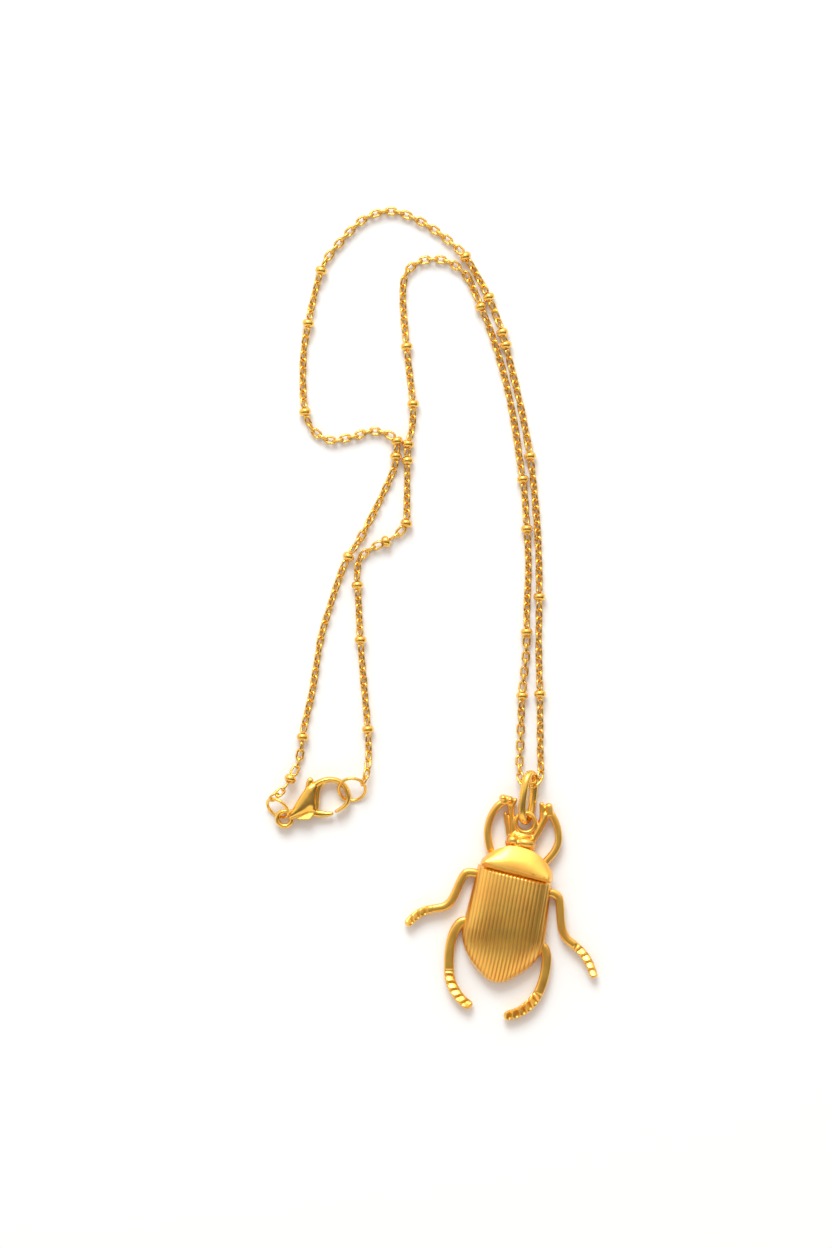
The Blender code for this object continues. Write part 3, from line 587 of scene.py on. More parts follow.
def gold_material(name, light, deep, roughness, spread, bump, brushed, coat):
    """Gold with cloudy tone, uneven gloss and a fine relief, from the shared groups; brushed gold also gets
    painted groove shade and a scratch.
    """
    if name in bpy.data.materials:
        return bpy.data.materials[name]
    material = bpy.data.materials.new(name)
    material.use_nodes = True
    tree = material.node_tree
    shader = tree.nodes["Principled BSDF"]
    for label, value in (("Metallic", 1), ("Coat Weight", coat), ("Coat Roughness", 0.3), ("Coat IOR", 1.8)):
        shader.inputs[label].default_value = value
    where = add_node(tree, "TexCoord")
    grain = group_node(tree, "Cast grain", cast_grain)
    marks = group_node(tree, "Handling marks", handling_marks)
    tones = color_mix(tree, deep, light)
    gloss = map_range(tree, 0.3, 0.7, roughness - spread, roughness + spread)
    relief = add_node(tree, "Bump", {"Strength": 1, "Distance": bump})
    cut = math_node(tree, "MULTIPLY", -0.25)
    height = math_node(tree, "ADD")
    wire_up(
        tree,
        (where, "Object", grain, "Vector"),
        (where, "Object", marks, "Vector"),
        (grain, "Tone", tones, FACTOR),
        (marks, "Smudges", gloss, "Value"),
        (gloss, "Result", shader, "Roughness"),
        (marks, "Scratches", cut, 0),
        (grain, "Height", height, 0),
        (cut, 0, height, 1),
        (relief, "Normal", shader, "Normal"),
    )
    if brushed:
        # Brown mixed into the tone: painted shade in the rib grooves, and the scratch down the collar
        scratch_and_shade = group_node(tree, "Brown marks", scratch_and_groove_shade)
        groove = add_node(tree, "Attribute", attribute_name="groove")
        scratched_shaded_tones = color_mix(tree, light, SCRATCH_AND_SHADE_BROWN)
        brush = group_node(tree, "Fine brush", fine_brush)
        brush.inputs["Lean"].default_value = -BEETLE_LEAN
        lines = math_node(tree, "MULTIPLY", brushed)
        total = math_node(tree, "ADD")
        wire_up(
            tree,
            (where, "Object", scratch_and_shade, "Vector"),
            (groove, "Fac", scratch_and_shade, "Groove"),
            (scratch_and_shade, "Scratch and shade", scratched_shaded_tones, FACTOR),
            (tones, MIXED, scratched_shaded_tones, FIRST),
            (where, "Object", brush, "Vector"),
            (brush, "Lines", lines, 0),
            (lines, 0, total, 0),
            (height, 0, total, 1),
        )
        tones, height = scratched_shaded_tones, total
    wire_up(tree, (height, 0, relief, "Height"), (tones, MIXED, shader, "Base Color"))
    return material


def satin_gold():
    colors = bpy.context.scene.finish_colors
    return gold_material(
        "cast_gold", colors.satin, colors.satin_deep, colors.satin_roughness, 0.04, 0.000006, 0.7, 0.9
    )


def bright_gold(name, roughness, spread, bump, shares):
    """Polished gold; shares are how much of each colour its deep tone keeps."""
    light = tuple(bpy.context.scene.finish_colors.bright)
    deep = [value * share for value, share in zip(light, shares)]
    return gold_material(name, light, deep, roughness, spread, bump, 0, 0.6)


def chain_gold():
    roughness = bpy.context.scene.finish_colors.chain_roughness
    return bright_gold("drawn_wire_gold", roughness, 0.05, 0.000004, (0.93, 0.88, 0.75))


def polished_gold():
    roughness = bpy.context.scene.finish_colors.polish_roughness
    return bright_gold("buffed_gold", roughness, 0.04, 0.000003, (0.96, 0.93, 0.85))


def finish_beetle(item, sharp):
    """Sets a part of the beetle down in its place, in satin gold."""
    settle(item, BEETLE_PLACE, BEETLE_LEAN)
    finish_piece(item, BODY, satin_gold(), ["scarab"], sharp)


# Beetle


SHELL_FRONT = 32.6
SHELL_FRONT_LEAN = 0.062
SHELL_WIDEST = -28
SHELL_TAIL = -78.5
SHELL_FRONT_HALF_WIDTH = 37.5
SHELL_HALF_WIDTH = 42
RIB_SPREAD = 0.07


def shell_half_width(y):
    """Half the wing cases' width in squares at a height on the grid."""
    if y > SHELL_WIDEST:
        share = (y - SHELL_WIDEST) / (SHELL_FRONT - SHELL_WIDEST)
        return SHELL_HALF_WIDTH + (SHELL_FRONT_HALF_WIDTH - SHELL_HALF_WIDTH) * share
    share = (SHELL_WIDEST - y) / (SHELL_WIDEST - SHELL_TAIL)
    return SHELL_HALF_WIDTH * max(0.0, 1 - share**2) ** (0.7 - 0.2 * share**14)


def shell_span(x):
    """Where the column at x starts and ends, so the ribs run straight and the outline cuts them off."""
    front = SHELL_FRONT - SHELL_FRONT_LEAN * x
    if abs(x) > SHELL_FRONT_HALF_WIDTH:
        share = (SHELL_HALF_WIDTH - abs(x)) / (SHELL_HALF_WIDTH - SHELL_FRONT_HALF_WIDTH)
        front = SHELL_WIDEST + share * (front - SHELL_WIDEST)
    tail, inside = SHELL_TAIL, SHELL_WIDEST
    for _ in range(22):
        middle = (tail + inside) / 2
        if shell_half_width(middle) > abs(x):
            inside = middle
        else:
            tail = middle
    return front, tail


def shell_top(sizes, x, y, phase):
    """Height of the ribbed top; the phase grows by pi from groove to groove."""
    half = max(shell_half_width(y), 0.01)
    side = min(1.0, abs(x) / half)
    fall = max(0.0, (-12 - y) / 74)
    rise = max(0.0, (y + 14) / 47)
    crown = (sizes.shell_height - sizes.shell_edge) * (1 - fall**2.3 - 0.17 * rise**2)
    crown *= (1 - side**3.2) ** 0.6
    front = max(0.0, (y - (SHELL_FRONT - SHELL_FRONT_LEAN * x) + 3.6) / 3.6)
    rib = (abs(math.sin(phase)) ** 0.85 - 0.6) * (0.62 + 0.9 * min(1.0, fall * 1.3)) * (1 + 0.35 * x / half)
    return sizes.shell_edge + crown + sizes.rib_depth * rib - 0.0008 * front**2.4


class SCARAB_OT_wing_cases(bpy.types.Operator):
    """Ribbed wing cases, closed at the tail"""

    bl_idname = "scarab.wing_cases"
    bl_label = "Wing cases"

    def execute(self, context):
        sizes = context.scene.pendant_sizes
        bpy.ops.object.select_all(action="DESELECT")
        bpy.ops.mesh.primitive_grid_add(x_subdivisions=sizes.rib_count * 8, y_subdivisions=72, size=2)
        item = named("wing_cases")
        grooves = item.data.attributes.new("groove", "FLOAT", "POINT")
        for vertex in item.data.vertices:
            column = (vertex.co.x + 1) / 2
            spread = 2 * column - 1 + 2 * RIB_SPREAD * (column * column - column)
            x = spread * (SHELL_HALF_WIDTH - 0.05)
            front, tail = shell_span(x)
            y = tail + (front - tail) * (vertex.co.y + 1) / 2
            phase = math.pi * column * sizes.rib_count
            height = shell_top(sizes, x, y, phase)
            # How deep in a groove between ribs each point lies, which sets where brown shade is painted
            grooves.data[vertex.index].value = (1 - abs(math.sin(phase))) ** 1.3
            vertex.co = (x * SQUARE, y * SQUARE, height)
        edit_all(item)
        bpy.ops.mesh.extrude_region_move(TRANSFORM_OT_translate={"value": (0, 0, -0.0002)})
        bpy.ops.transform.resize(value=(1, 1, 0), center_override=(0, 0, 0.0003))
        bpy.ops.mesh.extrude_region_move(TRANSFORM_OT_translate={"value": (0, 0, -0.0003)})
        bpy.ops.transform.resize(value=(0.975, 0.985, 1), center_override=(0, -20 * SQUARE, 0))
        bpy.ops.object.mode_set(mode="OBJECT")
        close_skin(item)
        finish_beetle(item, 70)
        return {"FINISHED"}


def closed_way(points, step):
    """A smooth closed outline through the points."""
    points = on_squares(points)
    way = Way([*points[-3:], *points, *points[:4]], step)
    near = [index for index, point in enumerate(way.points) if (point - points[0]).length < 1e-9]
    start, end = way.marks[near[0]], way.marks[near[-1]]
    return lambda share: way.point(start + (end - start) * share)


def cushion(name, outline, spine, levels, around=96):
    """A swelling form: each level draws the outline in towards the spine and sets its height."""
    rim = closed_way(outline, SQUARE)
    line = rounded(on_squares(spine), SQUARE / 2)
    rims = [rim(index / around) for index in range(around)]
    cores = [min(line, key=lambda point: (point - here).length) for here in rims]

    def place(s, a):
        share, height = levels[round(s * (len(levels) - 1))]
        index = round(a * around) % around
        point = cores[index].lerp(rims[index], share)
        return Vector((point.x, point.y, height))

    return skin(name, len(levels) - 1, around, place)


def swelling(floor, rim, top, power, steps=18):
    """Levels from a flat underside over a rounded rim to a smooth crown."""
    levels = [(0.0, floor), (0.9, floor), (0.97, floor + (rim - floor) * 0.25), (1.0, rim)]
    for index in range(1, steps + 1):
        share = math.cos(math.pi / 2 * index / steps) if index < steps else 0.0
        levels.append((share, rim + (top - rim) * (1 - share**power)))
    return levels


def swollen(name, outline, spine, floor, rim, top, reach, around=120):
    """A casting that bulges evenly from its outline: height follows the distance to the nearest edge."""
    levels = swelling(floor, rim, rim, 1.0, 22)
    item = cushion(name, outline, spine, levels, around)
    edge = closed_way(outline, SQUARE)
    edges = [edge(index / 240) for index in range(240)]
    upwards = 1 if top > rim else -1
    for vertex in item.data.vertices:
        flat = Vector((vertex.co.x, vertex.co.y, 0))
        if (vertex.co.z - rim) * upwards < -0.000005:
            continue
        inside = min(1.0, min((flat - point).length for point in edges) / (reach * SQUARE))
        vertex.co.z = rim + (top - rim) * math.sqrt(1 - (1 - inside) ** 2)
    alter(item, "SMOOTH", factor=0.5, iterations=30, use_x=False, use_y=False)
    return item


class SCARAB_OT_collar(bpy.types.Operator):
    """Smooth collar that rises to a lip over the wing cases' front ends"""

    bl_idname = "scarab.collar"
    bl_label = "Collar"

    def execute(self, context):
        outline = [
            (0, 32.9), (-12, 33.6), (-24, 34.4), (-33, 35.2), (-36, 36.6), (-36.1, 39.6), (-32.5, 45.4),
            (-25.8, 51.3), (-18.5, 55.8), (-11, 59.3), (-3, 60), (5, 59.5), (13, 57.9), (20, 55), (27, 50.4),
            (33, 44.6), (36.6, 39), (37.6, 34), (36.6, 30.4), (29, 30.5), (20, 31.3), (10, 32.1),
        ]
        spine = [(-31.5, 39.6), (-24, 39), (-12, 38.1), (0, 37.2), (12, 36), (24, 34.7), (32, 33.9)]
        top = context.scene.pendant_sizes.collar_height
        item = cushion("collar", outline, spine, swelling(0.0026, 0.0037, top, 1.7), 128)
        for vertex in item.data.vertices:
            x, y = vertex.co.x / SQUARE, vertex.co.y / SQUARE
            ridge = 37.4 - 0.075 * x - 0.0018 * x * x
            flank = clamped((ridge - y) / 2.5) * max(0.0, 1 - (abs(x - 0.5) / 37) ** 6)
            if vertex.co.z > 0.0036:
                vertex.co.z += (top - vertex.co.z) * 0.45 * flank
        finish_beetle(item, 60)
        return {"FINISHED"}


class SCARAB_OT_thorax(bpy.types.Operator):
    """Low body under the collar, which is also the floor of the groove"""

    bl_idname = "scarab.thorax"
    bl_label = "Thorax"

    def execute(self, context):
        outline = closed_way(
            [(0, 24), (-18, 24), (-33, 24.5), (-34.2, 28), (-34.2, 35), (-32.5, 40), (-29, 46), (-23, 51.5),
             (-16, 55.5), (-8, 58), (0, 59), (8, 58), (16, 55.5), (23, 51.5), (29, 46), (33.5, 40), (35, 35),
             (34.8, 28), (33, 24.5), (18, 24)], SQUARE
        )
        centre = Vector((0, 42 * SQUARE, 0))
        levels = [(0, 0), (0.95, 0), (1.0, 0.0004), (1.0, 0.0018), (0.985, 0.0030), (0.95, 0.0035),
                  (0.8, 0.0035),
                  (0.6, 0.0035), (0.3, 0.0035), (0, 0.0035)]

        def place(s, a):
            share, height = levels[round(s * (len(levels) - 1))]
            point = centre + (outline(a) - centre) * share
            shoulder = 0.0014 * abs(point.x / SQUARE / 34) ** 3 if height > 0.002 else 0
            return Vector((point.x, point.y, height - shoulder))

        item = skin("thorax", len(levels) - 1, 80, place)
        finish_beetle(item, 50)
        return {"FINISHED"}


def lobe(centre, radii):
    """An egg-shaped lobe, from a ball: its place and reach, in squares on the table and in metres upwards."""
    centre, radii = [(x * SQUARE, y * SQUARE, height) for x, y, height in (centre, radii)]
    bpy.ops.object.select_all(action="DESELECT")
    bpy.ops.mesh.primitive_uv_sphere_add(segments=32, ring_count=20, radius=1, location=centre)
    item = named("lobe")
    edit_all(item)
    bpy.ops.transform.resize(value=radii, center_override=centre)
    bpy.ops.object.mode_set(mode="OBJECT")
    only(item)
    bpy.ops.object.transform_apply(location=True, rotation=True, scale=True)
    return item


class SCARAB_OT_head(bpy.types.Operator):
    """Head lobes, eye ring and horn struts, cast in one"""

    bl_idname = "scarab.head"
    bl_label = "Head, eye and horns"

    def execute(self, context):
        g = SQUARE
        parts = [
            lobe((4.6, 64.4, 0.0023), (10.4, 6.8, 0.0017)),
            lobe((-8.6, 65, 0.0024), (6.3, 6.2, 0.0015)),
            lobe((-2.4, 62.8, 0.0021), (9.5, 6.2, 0.0015)),
            lobe((0, 61.5, 0.0015), (15.5, 9.5, 0.0015)),
            lobe((0.5, 70.2, 0.0014), (12, 6.5, 0.0012)),
            ring_skin(
                "eye", Vector((1.2 * g, 84.2 * g, 0.0020)), Vector((0, 1, 0)), UP,
                12.1 * g, 12.1 * g, 4.9 * g, 48, 16, flat=1.15
            ),
            bar("strut", [(-12, 66, 3), (-15, 76, 2.9), (-18.5, 85, 2.6), (-20.8, 91.5, 1.8)],
                (0.0004, 0.0017), 24, 12),
            bar("strut", [(-8, 68, 4.2), (-10.5, 78, 3.4), (-13.2, 88, 3.1), (-16, 96, 3.1),
                (-18.5, 101, 3.2)],
                (0.0004, 0.0021), 28, 12),
            bar("prong", [(-15.5, 92, 2.8), (-14, 100, 2.7), (-11.8, 106.8, 2.2)], (0.0006, 0.0020), 20, 12),
            bar("strut", [(10, 66, 4.6), (13.8, 75, 4.3), (17.4, 86, 4.3), (19.6, 94, 4.2), (20.6, 99, 4)],
                (0.0004, 0.0022), 28, 12),
            bar("prong", [(17.5, 84, 3), (16.8, 94, 3), (15.2, 101, 2.8), (13.2, 107.4, 2.3)],
                (0.0008, 0.0021), 24, 12),
            bar("foot", [(-28, 99.6, 4.4), (-22, 102.6, 5.2), (-16.8, 102.2, 4.4)],
                (0.0004, 0.0023), 24, 16, 3.2),
            lobe((-25.2, 104.2, 0.0015), (4, 3.8, 0.0010)),
            lobe((-18.2, 103.6, 0.0016), (3.6, 4, 0.0010)),
            bar("foot", [(24.8, 93, 4), (22.5, 101, 4), (20.3, 107.8, 3.5)], (0.0004, 0.0023), 24, 16, 2.6),
        ]
        item = cast(parts, "head", 0.000085, 12)
        finish_beetle(item, 180)
        return {"FINISHED"}


class SCARAB_OT_legs(bpy.types.Operator):
    """Three pairs of bent legs, notched towards the feet of the middle and hind pairs"""

    bl_idname = "scarab.legs"
    bl_label = "Legs"

    def execute(self, context):
        low = 0.0003
        high = low + context.scene.pendant_sizes.leg_height
        legs = [
            ("front_leg_left", [(-22, 101.5, 3.6), (-27.8, 96.5, 3.8), (-32, 89, 3.7), (-34.4, 80, 3.6),
             (-34.6, 70, 3.7), (-32.2, 60, 3.9), (-27, 48, 4)], None),
            ("front_leg_right", [(23.2, 98.5, 3.8), (27, 95, 3.7), (31.4, 89, 3.7), (35.5, 80, 3.6),
             (37, 70, 3.7),
             (34.6, 60, 3.8), (29.5, 51, 3.9), (25, 44, 4)], None),
            ("middle_leg_left", [(-34, 24.6, 4.2), (-42, 25.4, 4.4), (-48, 23.6, 4.4), (-52, 15, 4.3),
             (-54.8, 3, 4.3), (-58.4, -7.6, 4.5), (-63.5, -13.2, 4.4), (-72, -16.6, 4.2), (-82, -20.8, 4.4),
             (-90, -27.5, 4.4), (-98, -38.5, 4)], (4, 10, 0.55, 1.25, 0.2)),
            ("middle_leg_right", [(33, 18, 4.2), (41, 19.4, 4.4), (47, 16.5, 4.4), (50.4, 7, 4.3),
             (53.4, -5, 4.3),
             (57.2, -15.6, 4.5), (62.4, -22.6, 4.4), (70.5, -27.3, 4.3), (80, -33.4, 4.4), (88.5, -42, 4.4),
             (97.4, -57, 4)], (5, 9, 0.55, 1.95, 0.2)),
            ("hind_leg_left", [(-36, -22.5, 4.6), (-44, -25.6, 5), (-49, -35, 5), (-50.6, -46, 5),
             (-50.2, -58, 5),
             (-48.2, -71, 5.1), (-44.9, -83, 5.3), (-39.6, -92, 5.4), (-32, -99.8, 5.2), (-25, -104.3, 5),
             (-18.4, -107.2, 4.6)], (6, 9, 0.62, 1.95, 0.3)),
            ("hind_leg_right", [(34, -33.5, 4.6), (41.5, -35.6, 5), (45.6, -43, 5), (47.2, -54, 5),
             (46.8, -68, 5),
             (44.7, -80, 5.1), (40.4, -90.5, 5.3), (33.4, -99.6, 5.3), (25, -105.8, 5), (14.2, -110.4, 4.6)],
             (6, 9, 0.62, 1.2, 0.3)),
        ]
        for name, points, teeth in legs:
            item = bar(name, points, (low, high), 120 if teeth else 60, 32, 3.1, teeth)
            finish_beetle(item, 38 if teeth else 60)
        return {"FINISHED"}


def beetle_point(x, y, height):
    """A point of the beetle's grid in the frame."""
    return Matrix.Rotation(BEETLE_LEAN, 3, "Z") @ on_squares([(x, y)])[0] + BEETLE_PLACE + UP * height


def bail_frame(wire):
    """The bail's centre, its long way and the square to its plane."""
    long_way = Matrix.Rotation(BAIL_LEAN, 3, "Z") @ Vector((0, 1, 0))
    across = long_way.cross(UP) * math.cos(BAIL_TILT) - UP * math.sin(BAIL_TILT)
    arm = (BAIL_WIDTH - wire) / 2 * math.sin(BAIL_TILT)
    rim = beetle_point(0, EYE_MIDDLE + EYE_RIM / SQUARE, 0)
    centre = rim + long_way * (BAIL_LENGTH / 2 - wire - BAIL_SLACK) + UP * (wire / 2 + arm)
    return centre, long_way, across.cross(long_way)


class SCARAB_OT_bail(bpy.types.Operator):
    """Oval bail: one arm under the eye's rim and one over it"""

    bl_idname = "scarab.bail"
    bl_label = "Bail"

    def execute(self, context):
        wire = context.scene.pendant_sizes.bail_wire
        centre, long_way, normal = bail_frame(wire)
        halves = (BAIL_LENGTH / 2, BAIL_WIDTH / 2)
        item = ring_skin("bail_ring", centre, long_way, normal, *halves, wire, 72, 20, 2.4, 1.2)
        finish_piece(item, BODY, polished_gold(), ["bail"], 180)
        return {"FINISHED"}


# Clasp


PIVOT = (-8, -3)
CLASP_MIDDLE = 0.0012


def plate(name, outline, low, high, edge):
    """A plate with rounded edges, from a ring of points in squares that is filled, drawn up and bevelled."""
    bpy.ops.object.select_all(action="DESELECT")
    bpy.ops.mesh.primitive_circle_add(vertices=len(outline), radius=1, fill_type="NGON")
    item = named(name)
    for vertex, (x, y) in zip(item.data.vertices, outline):
        vertex.co = (x * SQUARE, y * SQUARE, low)
    edit_all(item)
    bpy.ops.mesh.extrude_region_move(TRANSFORM_OT_translate={"value": (0, 0, high - low)})
    bpy.ops.mesh.select_all(action="SELECT")
    bpy.ops.mesh.normals_make_consistent(inside=False)
    bpy.ops.object.mode_set(mode="OBJECT")
    alter(item, "BEVEL", width=edge, segments=3, limit_method="ANGLE", angle_limit=math.radians(50))
    return item


class SCARAB_OT_clasp_body(bpy.types.Operator):
    """Cast body of the lobster clasp with its tail ring, flange, pin and hook"""

    bl_idname = "scarab.clasp_body"
    bl_label = "Clasp body"

    def execute(self, context):
        g = SQUARE
        outline = [
            (-30, -7.4), (-24, -7.6), (-17, -7.4), (-10.5, -6.6), (-5.5, -8), (-1.6, -8.6), (-0.8, -4.5),
            (0.6, 0),
            (2.2, 4.5), (4, 9), (6.4, 12.6), (9.6, 15.6), (10.4, 18.6), (8.4, 20.4), (4, 20.8), (-1, 20),
            (-4.8, 18.6), (-8.2, 15.8),
            (-13.6, 11.8), (-19.6, 6.6), (-25.4, 1.6), (-29.6, -0.6),
        ]
        spine = [(-27, -2.6), (-20, 0.6), (-13, 5), (-6, 10.6), (1, 16), (7, 18.2)]
        back = swollen("back", outline, spine, 0.00172, 0.00178, 0.00262, 8.6)
        for vertex in back.data.vertices:
            away = math.hypot(vertex.co.x / g + 6.4, vertex.co.y / g + 4.2)
            if vertex.co.z > 0.0018:
                vertex.co.z -= 0.00032 * math.exp(-((away / 3.4) ** 2)) + 0.00004 * max(0.0, vertex.co.x / g)
        back = cast([back], "back", 0.00011, 26)
        under = swollen("under", outline, spine, 0.00066, 0.00060, 0.00004, 8.6)
        under = cast([under], "under", 0.00011, 26)
        wall = plate(
            "wall", [(-28, -6.4), (-20, -6.8), (-16.2, -6.6), (-16.2, 2), (-15.6, 7), (-16.4, 7.8),
                     (-20, 4.9),
                     (-28, -1.4)], 0.0005, 0.0019, 0.00008
        )
        flange = plate(
            "flange", [(-25.6, -6.4), (-22.7, -9.4), (-16.5, -12), (-10.6, -13.6), (-7.2, -11.4),
                       (-3.4, -8.2),
                       (-7, -6.4), (-11.4, -4.9), (-14.2, -6.2)], 0.00168, 0.00192, 0.00006
        )
        for vertex in flange.data.vertices:
            vertex.co.z -= (vertex.co.y / g + 8) * g * 0.34
        hook = bar(
            "hook", [(0, 13.4, 4.6), (4, 16.8, 4.0), (8, 18.4, 3.1), (12, 19.3, 2.7), (16, 19.5, 2.5),
                     (22, 18.2, 2.5), (27, 15.4, 2.6), (30.6, 11.6, 2.75), (32.8, 7, 2.85), (33.7, 1, 2.8),
                     (33, -4.2, 2.75), (30.5, -8.5, 2.6), (26.6, -11.4, 2.4), (21.5, -13, 2.1),
                     (14.9, -14.2, 1.6)],
            (0.0005, 0.0022), 90, 24, 2.2
        )
        inner = bar(
            "hook_edge", [(-1.0, -7.4, 1.5), (0.6, -3, 2.1), (2.4, 2.6, 2.3), (4.5, 8, 2.3), (7.4, 12.8, 2.1),
                          (11.6, 15.9, 1.8), (16.2, 17, 1.6), (21.8, 16.2, 1.5), (25.8, 13.8, 1.4),
                          (28.8, 10.4, 1.3), (30.8, 6, 1.0)],
            (0.0006, 0.0018), 60, 16, 2.6
        )
        tail = ring_skin(
            "tail_ring", Vector((-34.5 * g, -5 * g, CLASP_MIDDLE)), Vector((1, 0, 0)), UP,
            9.9 * g, 9.9 * g, 5.2 * g, 56, 18, flat=1.3
        )
        neck = bar("neck", [(-31, -3.8, 4.0), (-27, -3, 4.8), (-22, -1.6, 6)], (0.0003, 0.0022), 16, 16, 2.6)
        x, y = PIVOT
        pin = bar("pin", [(x, y - 1.2, 1.7), (x, y + 1.2, 1.7)], (0.0005, 0.0019), 8, 16)
        item = cast([back, under, wall, flange, hook, inner, tail, neck, pin], "clasp_cheeks", 0.00007, 7)
        settle(item, CLASP_PLACE, CLASP_LEAN)
        finish_piece(item, BODY, polished_gold(), ["clasp_body"], 180)
        return {"FINISHED"}


class SCARAB_OT_clasp_gate(bpy.types.Operator):
    """Sprung gate with its thumb trigger"""

    bl_idname = "scarab.clasp_gate"
    bl_label = "Clasp gate"

    def execute(self, context):
        lever = plate(
            "lever", [(-12.3, -6), (-9.4, -9.6), (-5, -11), (-3.4, -5), (-3.6, 0), (-2.4, 8), (1, 16),
                      (3.8, 21),
                      (-1, 22.5), (-4, 20), (-6, 17), (-9, 9), (-12, 1)], 0.00072, 0.00168, 0.0001
        )
        thumb = bar("thumb", [(-2.4, 15, 3.6), (-0.8, 19, 3.6), (1.2, 22.4, 3.4), (3.5, 26, 3.3)],
                    (0.0007, 0.0018), 24, 20, 2.5)
        arm = bar("arm", [(-9, -5.6, 3.9), (-4, -9, 3.9), (0, -11.2, 3.6), (4, -12.8, 3.2), (8, -14, 2.7),
                          (11, -14.6, 2.3), (13.9, -14.9, 1.9)], (0.00069, 0.0017), 40, 20, 2.5)
        item = cast([lever, thumb, arm], "gate_lever", 0.00007, 4)
        settle(item, CLASP_PLACE, CLASP_LEAN)
        finish_piece(item, GATE_BODY, polished_gold(), ["clasp_gate"], 180)
        return {"FINISHED"}


def clasp_point(x, y, height):
    """A point of the clasp's grid in the frame."""
    return Matrix.Rotation(CLASP_LEAN, 3, "Z") @ on_squares([(x, y)])[0] + CLASP_PLACE + UP * height


def jump_ring(centre, diameter, tilt, long_way, high_way):
    """Centre, long way, high way and radius of a wire ring that lies tilted on its low side."""
    long_way = long_way.normalized()
    high_way = high_way.normalized() * math.cos(tilt) + UP * math.sin(tilt)
    middle = diameter / 2 - RING_WIRE / 2
    place = clasp_point(*centre, RING_WIRE / 2 + middle * math.sin(tilt))
    return place, long_way, high_way, diameter / 2


def hook_jump_ring():
    return jump_ring((38.6, 2.0), 0.00525, math.radians(31), Vector((1, 0, 0)), Vector((0, 1, 0)))


def tail_jump_ring():
    way = Matrix.Rotation(CLASP_LEAN, 3, "Z") @ Vector((0.55, -0.83, 0))
    return jump_ring((-37.6, 7.4), 0.0047, math.radians(50), -way, way.cross(-UP))


class SCARAB_OT_jump_rings(bpy.types.Operator):
    """The two round wire rings at the clasp's ends"""

    bl_idname = "scarab.jump_rings"
    bl_label = "Jump rings"

    def execute(self, context):
        for name, (centre, long_way, high_way, radius) in (
            ("hook_jump_ring", hook_jump_ring()), ("tail_jump_ring", tail_jump_ring())
        ):
            normal = long_way.cross(high_way)
            item = ring_skin("wire_" + name, centre, long_way, normal, radius, radius, RING_WIRE, 56, 14)
            finish_piece(item, BODY, polished_gold(), [name], 180)
        return {"FINISHED"}


# Chain


def swell(distance, reach):
    """A smooth hump, one at its middle and near nothing beyond its reach."""
    return math.exp(-((distance / reach) ** 2))


def looseness(mark):
    """One where the chain lies loose, none where it is pulled straight, eased over a link or two."""
    most = 0.0
    for start, end in LOOSE_STRETCHES:
        inside = min(mark - start, end - mark)
        most = max(most, clamped(0.5 + inside / (2 * LINK_PITCH)))
    return most


class ChainLine:
    """The chain's centre line in space."""

    def __init__(self, sizes, bail_wire):
        flat = Way([(x, y, 0) for x, y in ROUTE], LINK_PITCH / 2)
        centre, long_way, _ = bail_frame(bail_wire)
        top = centre + long_way * (BAIL_LENGTH / 2 - bail_wire - LINK_WIDTH)
        crossing = min(zip(flat.marks, flat.points), key=lambda pair: (pair[1] - top).xy.length)[0]
        ends = (
            (0.0, ring_point(tail_jump_ring(), TAIL_LINK_ANGLE).z),
            (flat.length, ring_point(hook_jump_ring(), HOOK_LINK_ANGLE).z),
        )
        self.flat = flat
        self.length = flat.length
        reach = (LINK_WIDTH - LINK_WIRE) / 2
        for index, mark in enumerate(flat.marks):
            base = math.radians(45) * (1 - looseness(mark))
            lie = LINK_WIRE / 2 + reach * max(math.sin(base), math.cos(base))
            height = lie
            for place in BEAD_PLACES:
                rise = (sizes.bead_diameter / 2 - lie) * swell(mark - place, BEAD_SWELL)
                height = max(height, lie + rise)
            height += BAIL_RISE * swell(mark - crossing, BAIL_REACH)
            for place, end_height in ends:
                height += (end_height - lie) * swell(mark - place, END_REACH)
            flat.points[index] = flat.points[index] + UP * height

    def point(self, mark):
        return self.flat.point(mark)

    def frame(self, mark, reach):
        """Point, direction, level way across and upward way of the chain at a mark."""
        before = self.flat.point(mark - reach)
        after = self.flat.point(mark + reach)
        along = (after - before).normalized()
        across = along.cross(UP).normalized()
        return (before + after) / 2, along, across, across.cross(along)


def ring_point(ring, degrees):
    """The wire's centre at an angle from a jump ring's long way."""
    centre, long_way, high_way, radius = ring
    angle = math.radians(degrees)
    return centre + (long_way * math.cos(angle) + high_way * math.sin(angle)) * (radius - RING_WIRE / 2)


def runs():
    """The stretches between stops, where a stop is an end of the chain or a bead that parts two runs."""
    last = len(BEAD_PLACES) + 1
    found = [[0]]
    for stop in range(1, last):
        found[-1].append(stop)
        if stop not in THREADED_BEADS:
            found.append([stop])
    found[-1].append(last)
    return found


def first_link():
    """One oval link: a small ring of wire, drawn out along its length."""
    bpy.ops.object.select_all(action="DESELECT")
    bpy.ops.mesh.primitive_torus_add(
        major_segments=14, minor_segments=5,
        major_radius=(LINK_WIDTH - LINK_WIRE) / 2, minor_radius=LINK_WIRE / 2
    )
    item = named("first_link")
    stretch = (LINK_LENGTH - LINK_WIDTH) / 2
    for side in (-1, 1):
        pick_points(item, lambda place: place.x * side > LINK_WIRE / 8)
        bpy.ops.transform.translate(value=(side * stretch, 0, 0))
        bpy.ops.object.mode_set(mode="OBJECT")
    return item


def copy_to(item, matrix, name):
    """A copy with its own mesh, its place in its mesh."""
    other = bpy.data.objects.new(name, item.data.copy())
    other.data.transform(matrix)
    bpy.context.scene.collection.objects.link(other)
    return other


def axes(origin, x, y, z):
    """The matrix that takes the grid's axes to these."""
    matrix = Matrix((x, y, z)).transposed().to_4x4()
    matrix.translation = origin
    return matrix


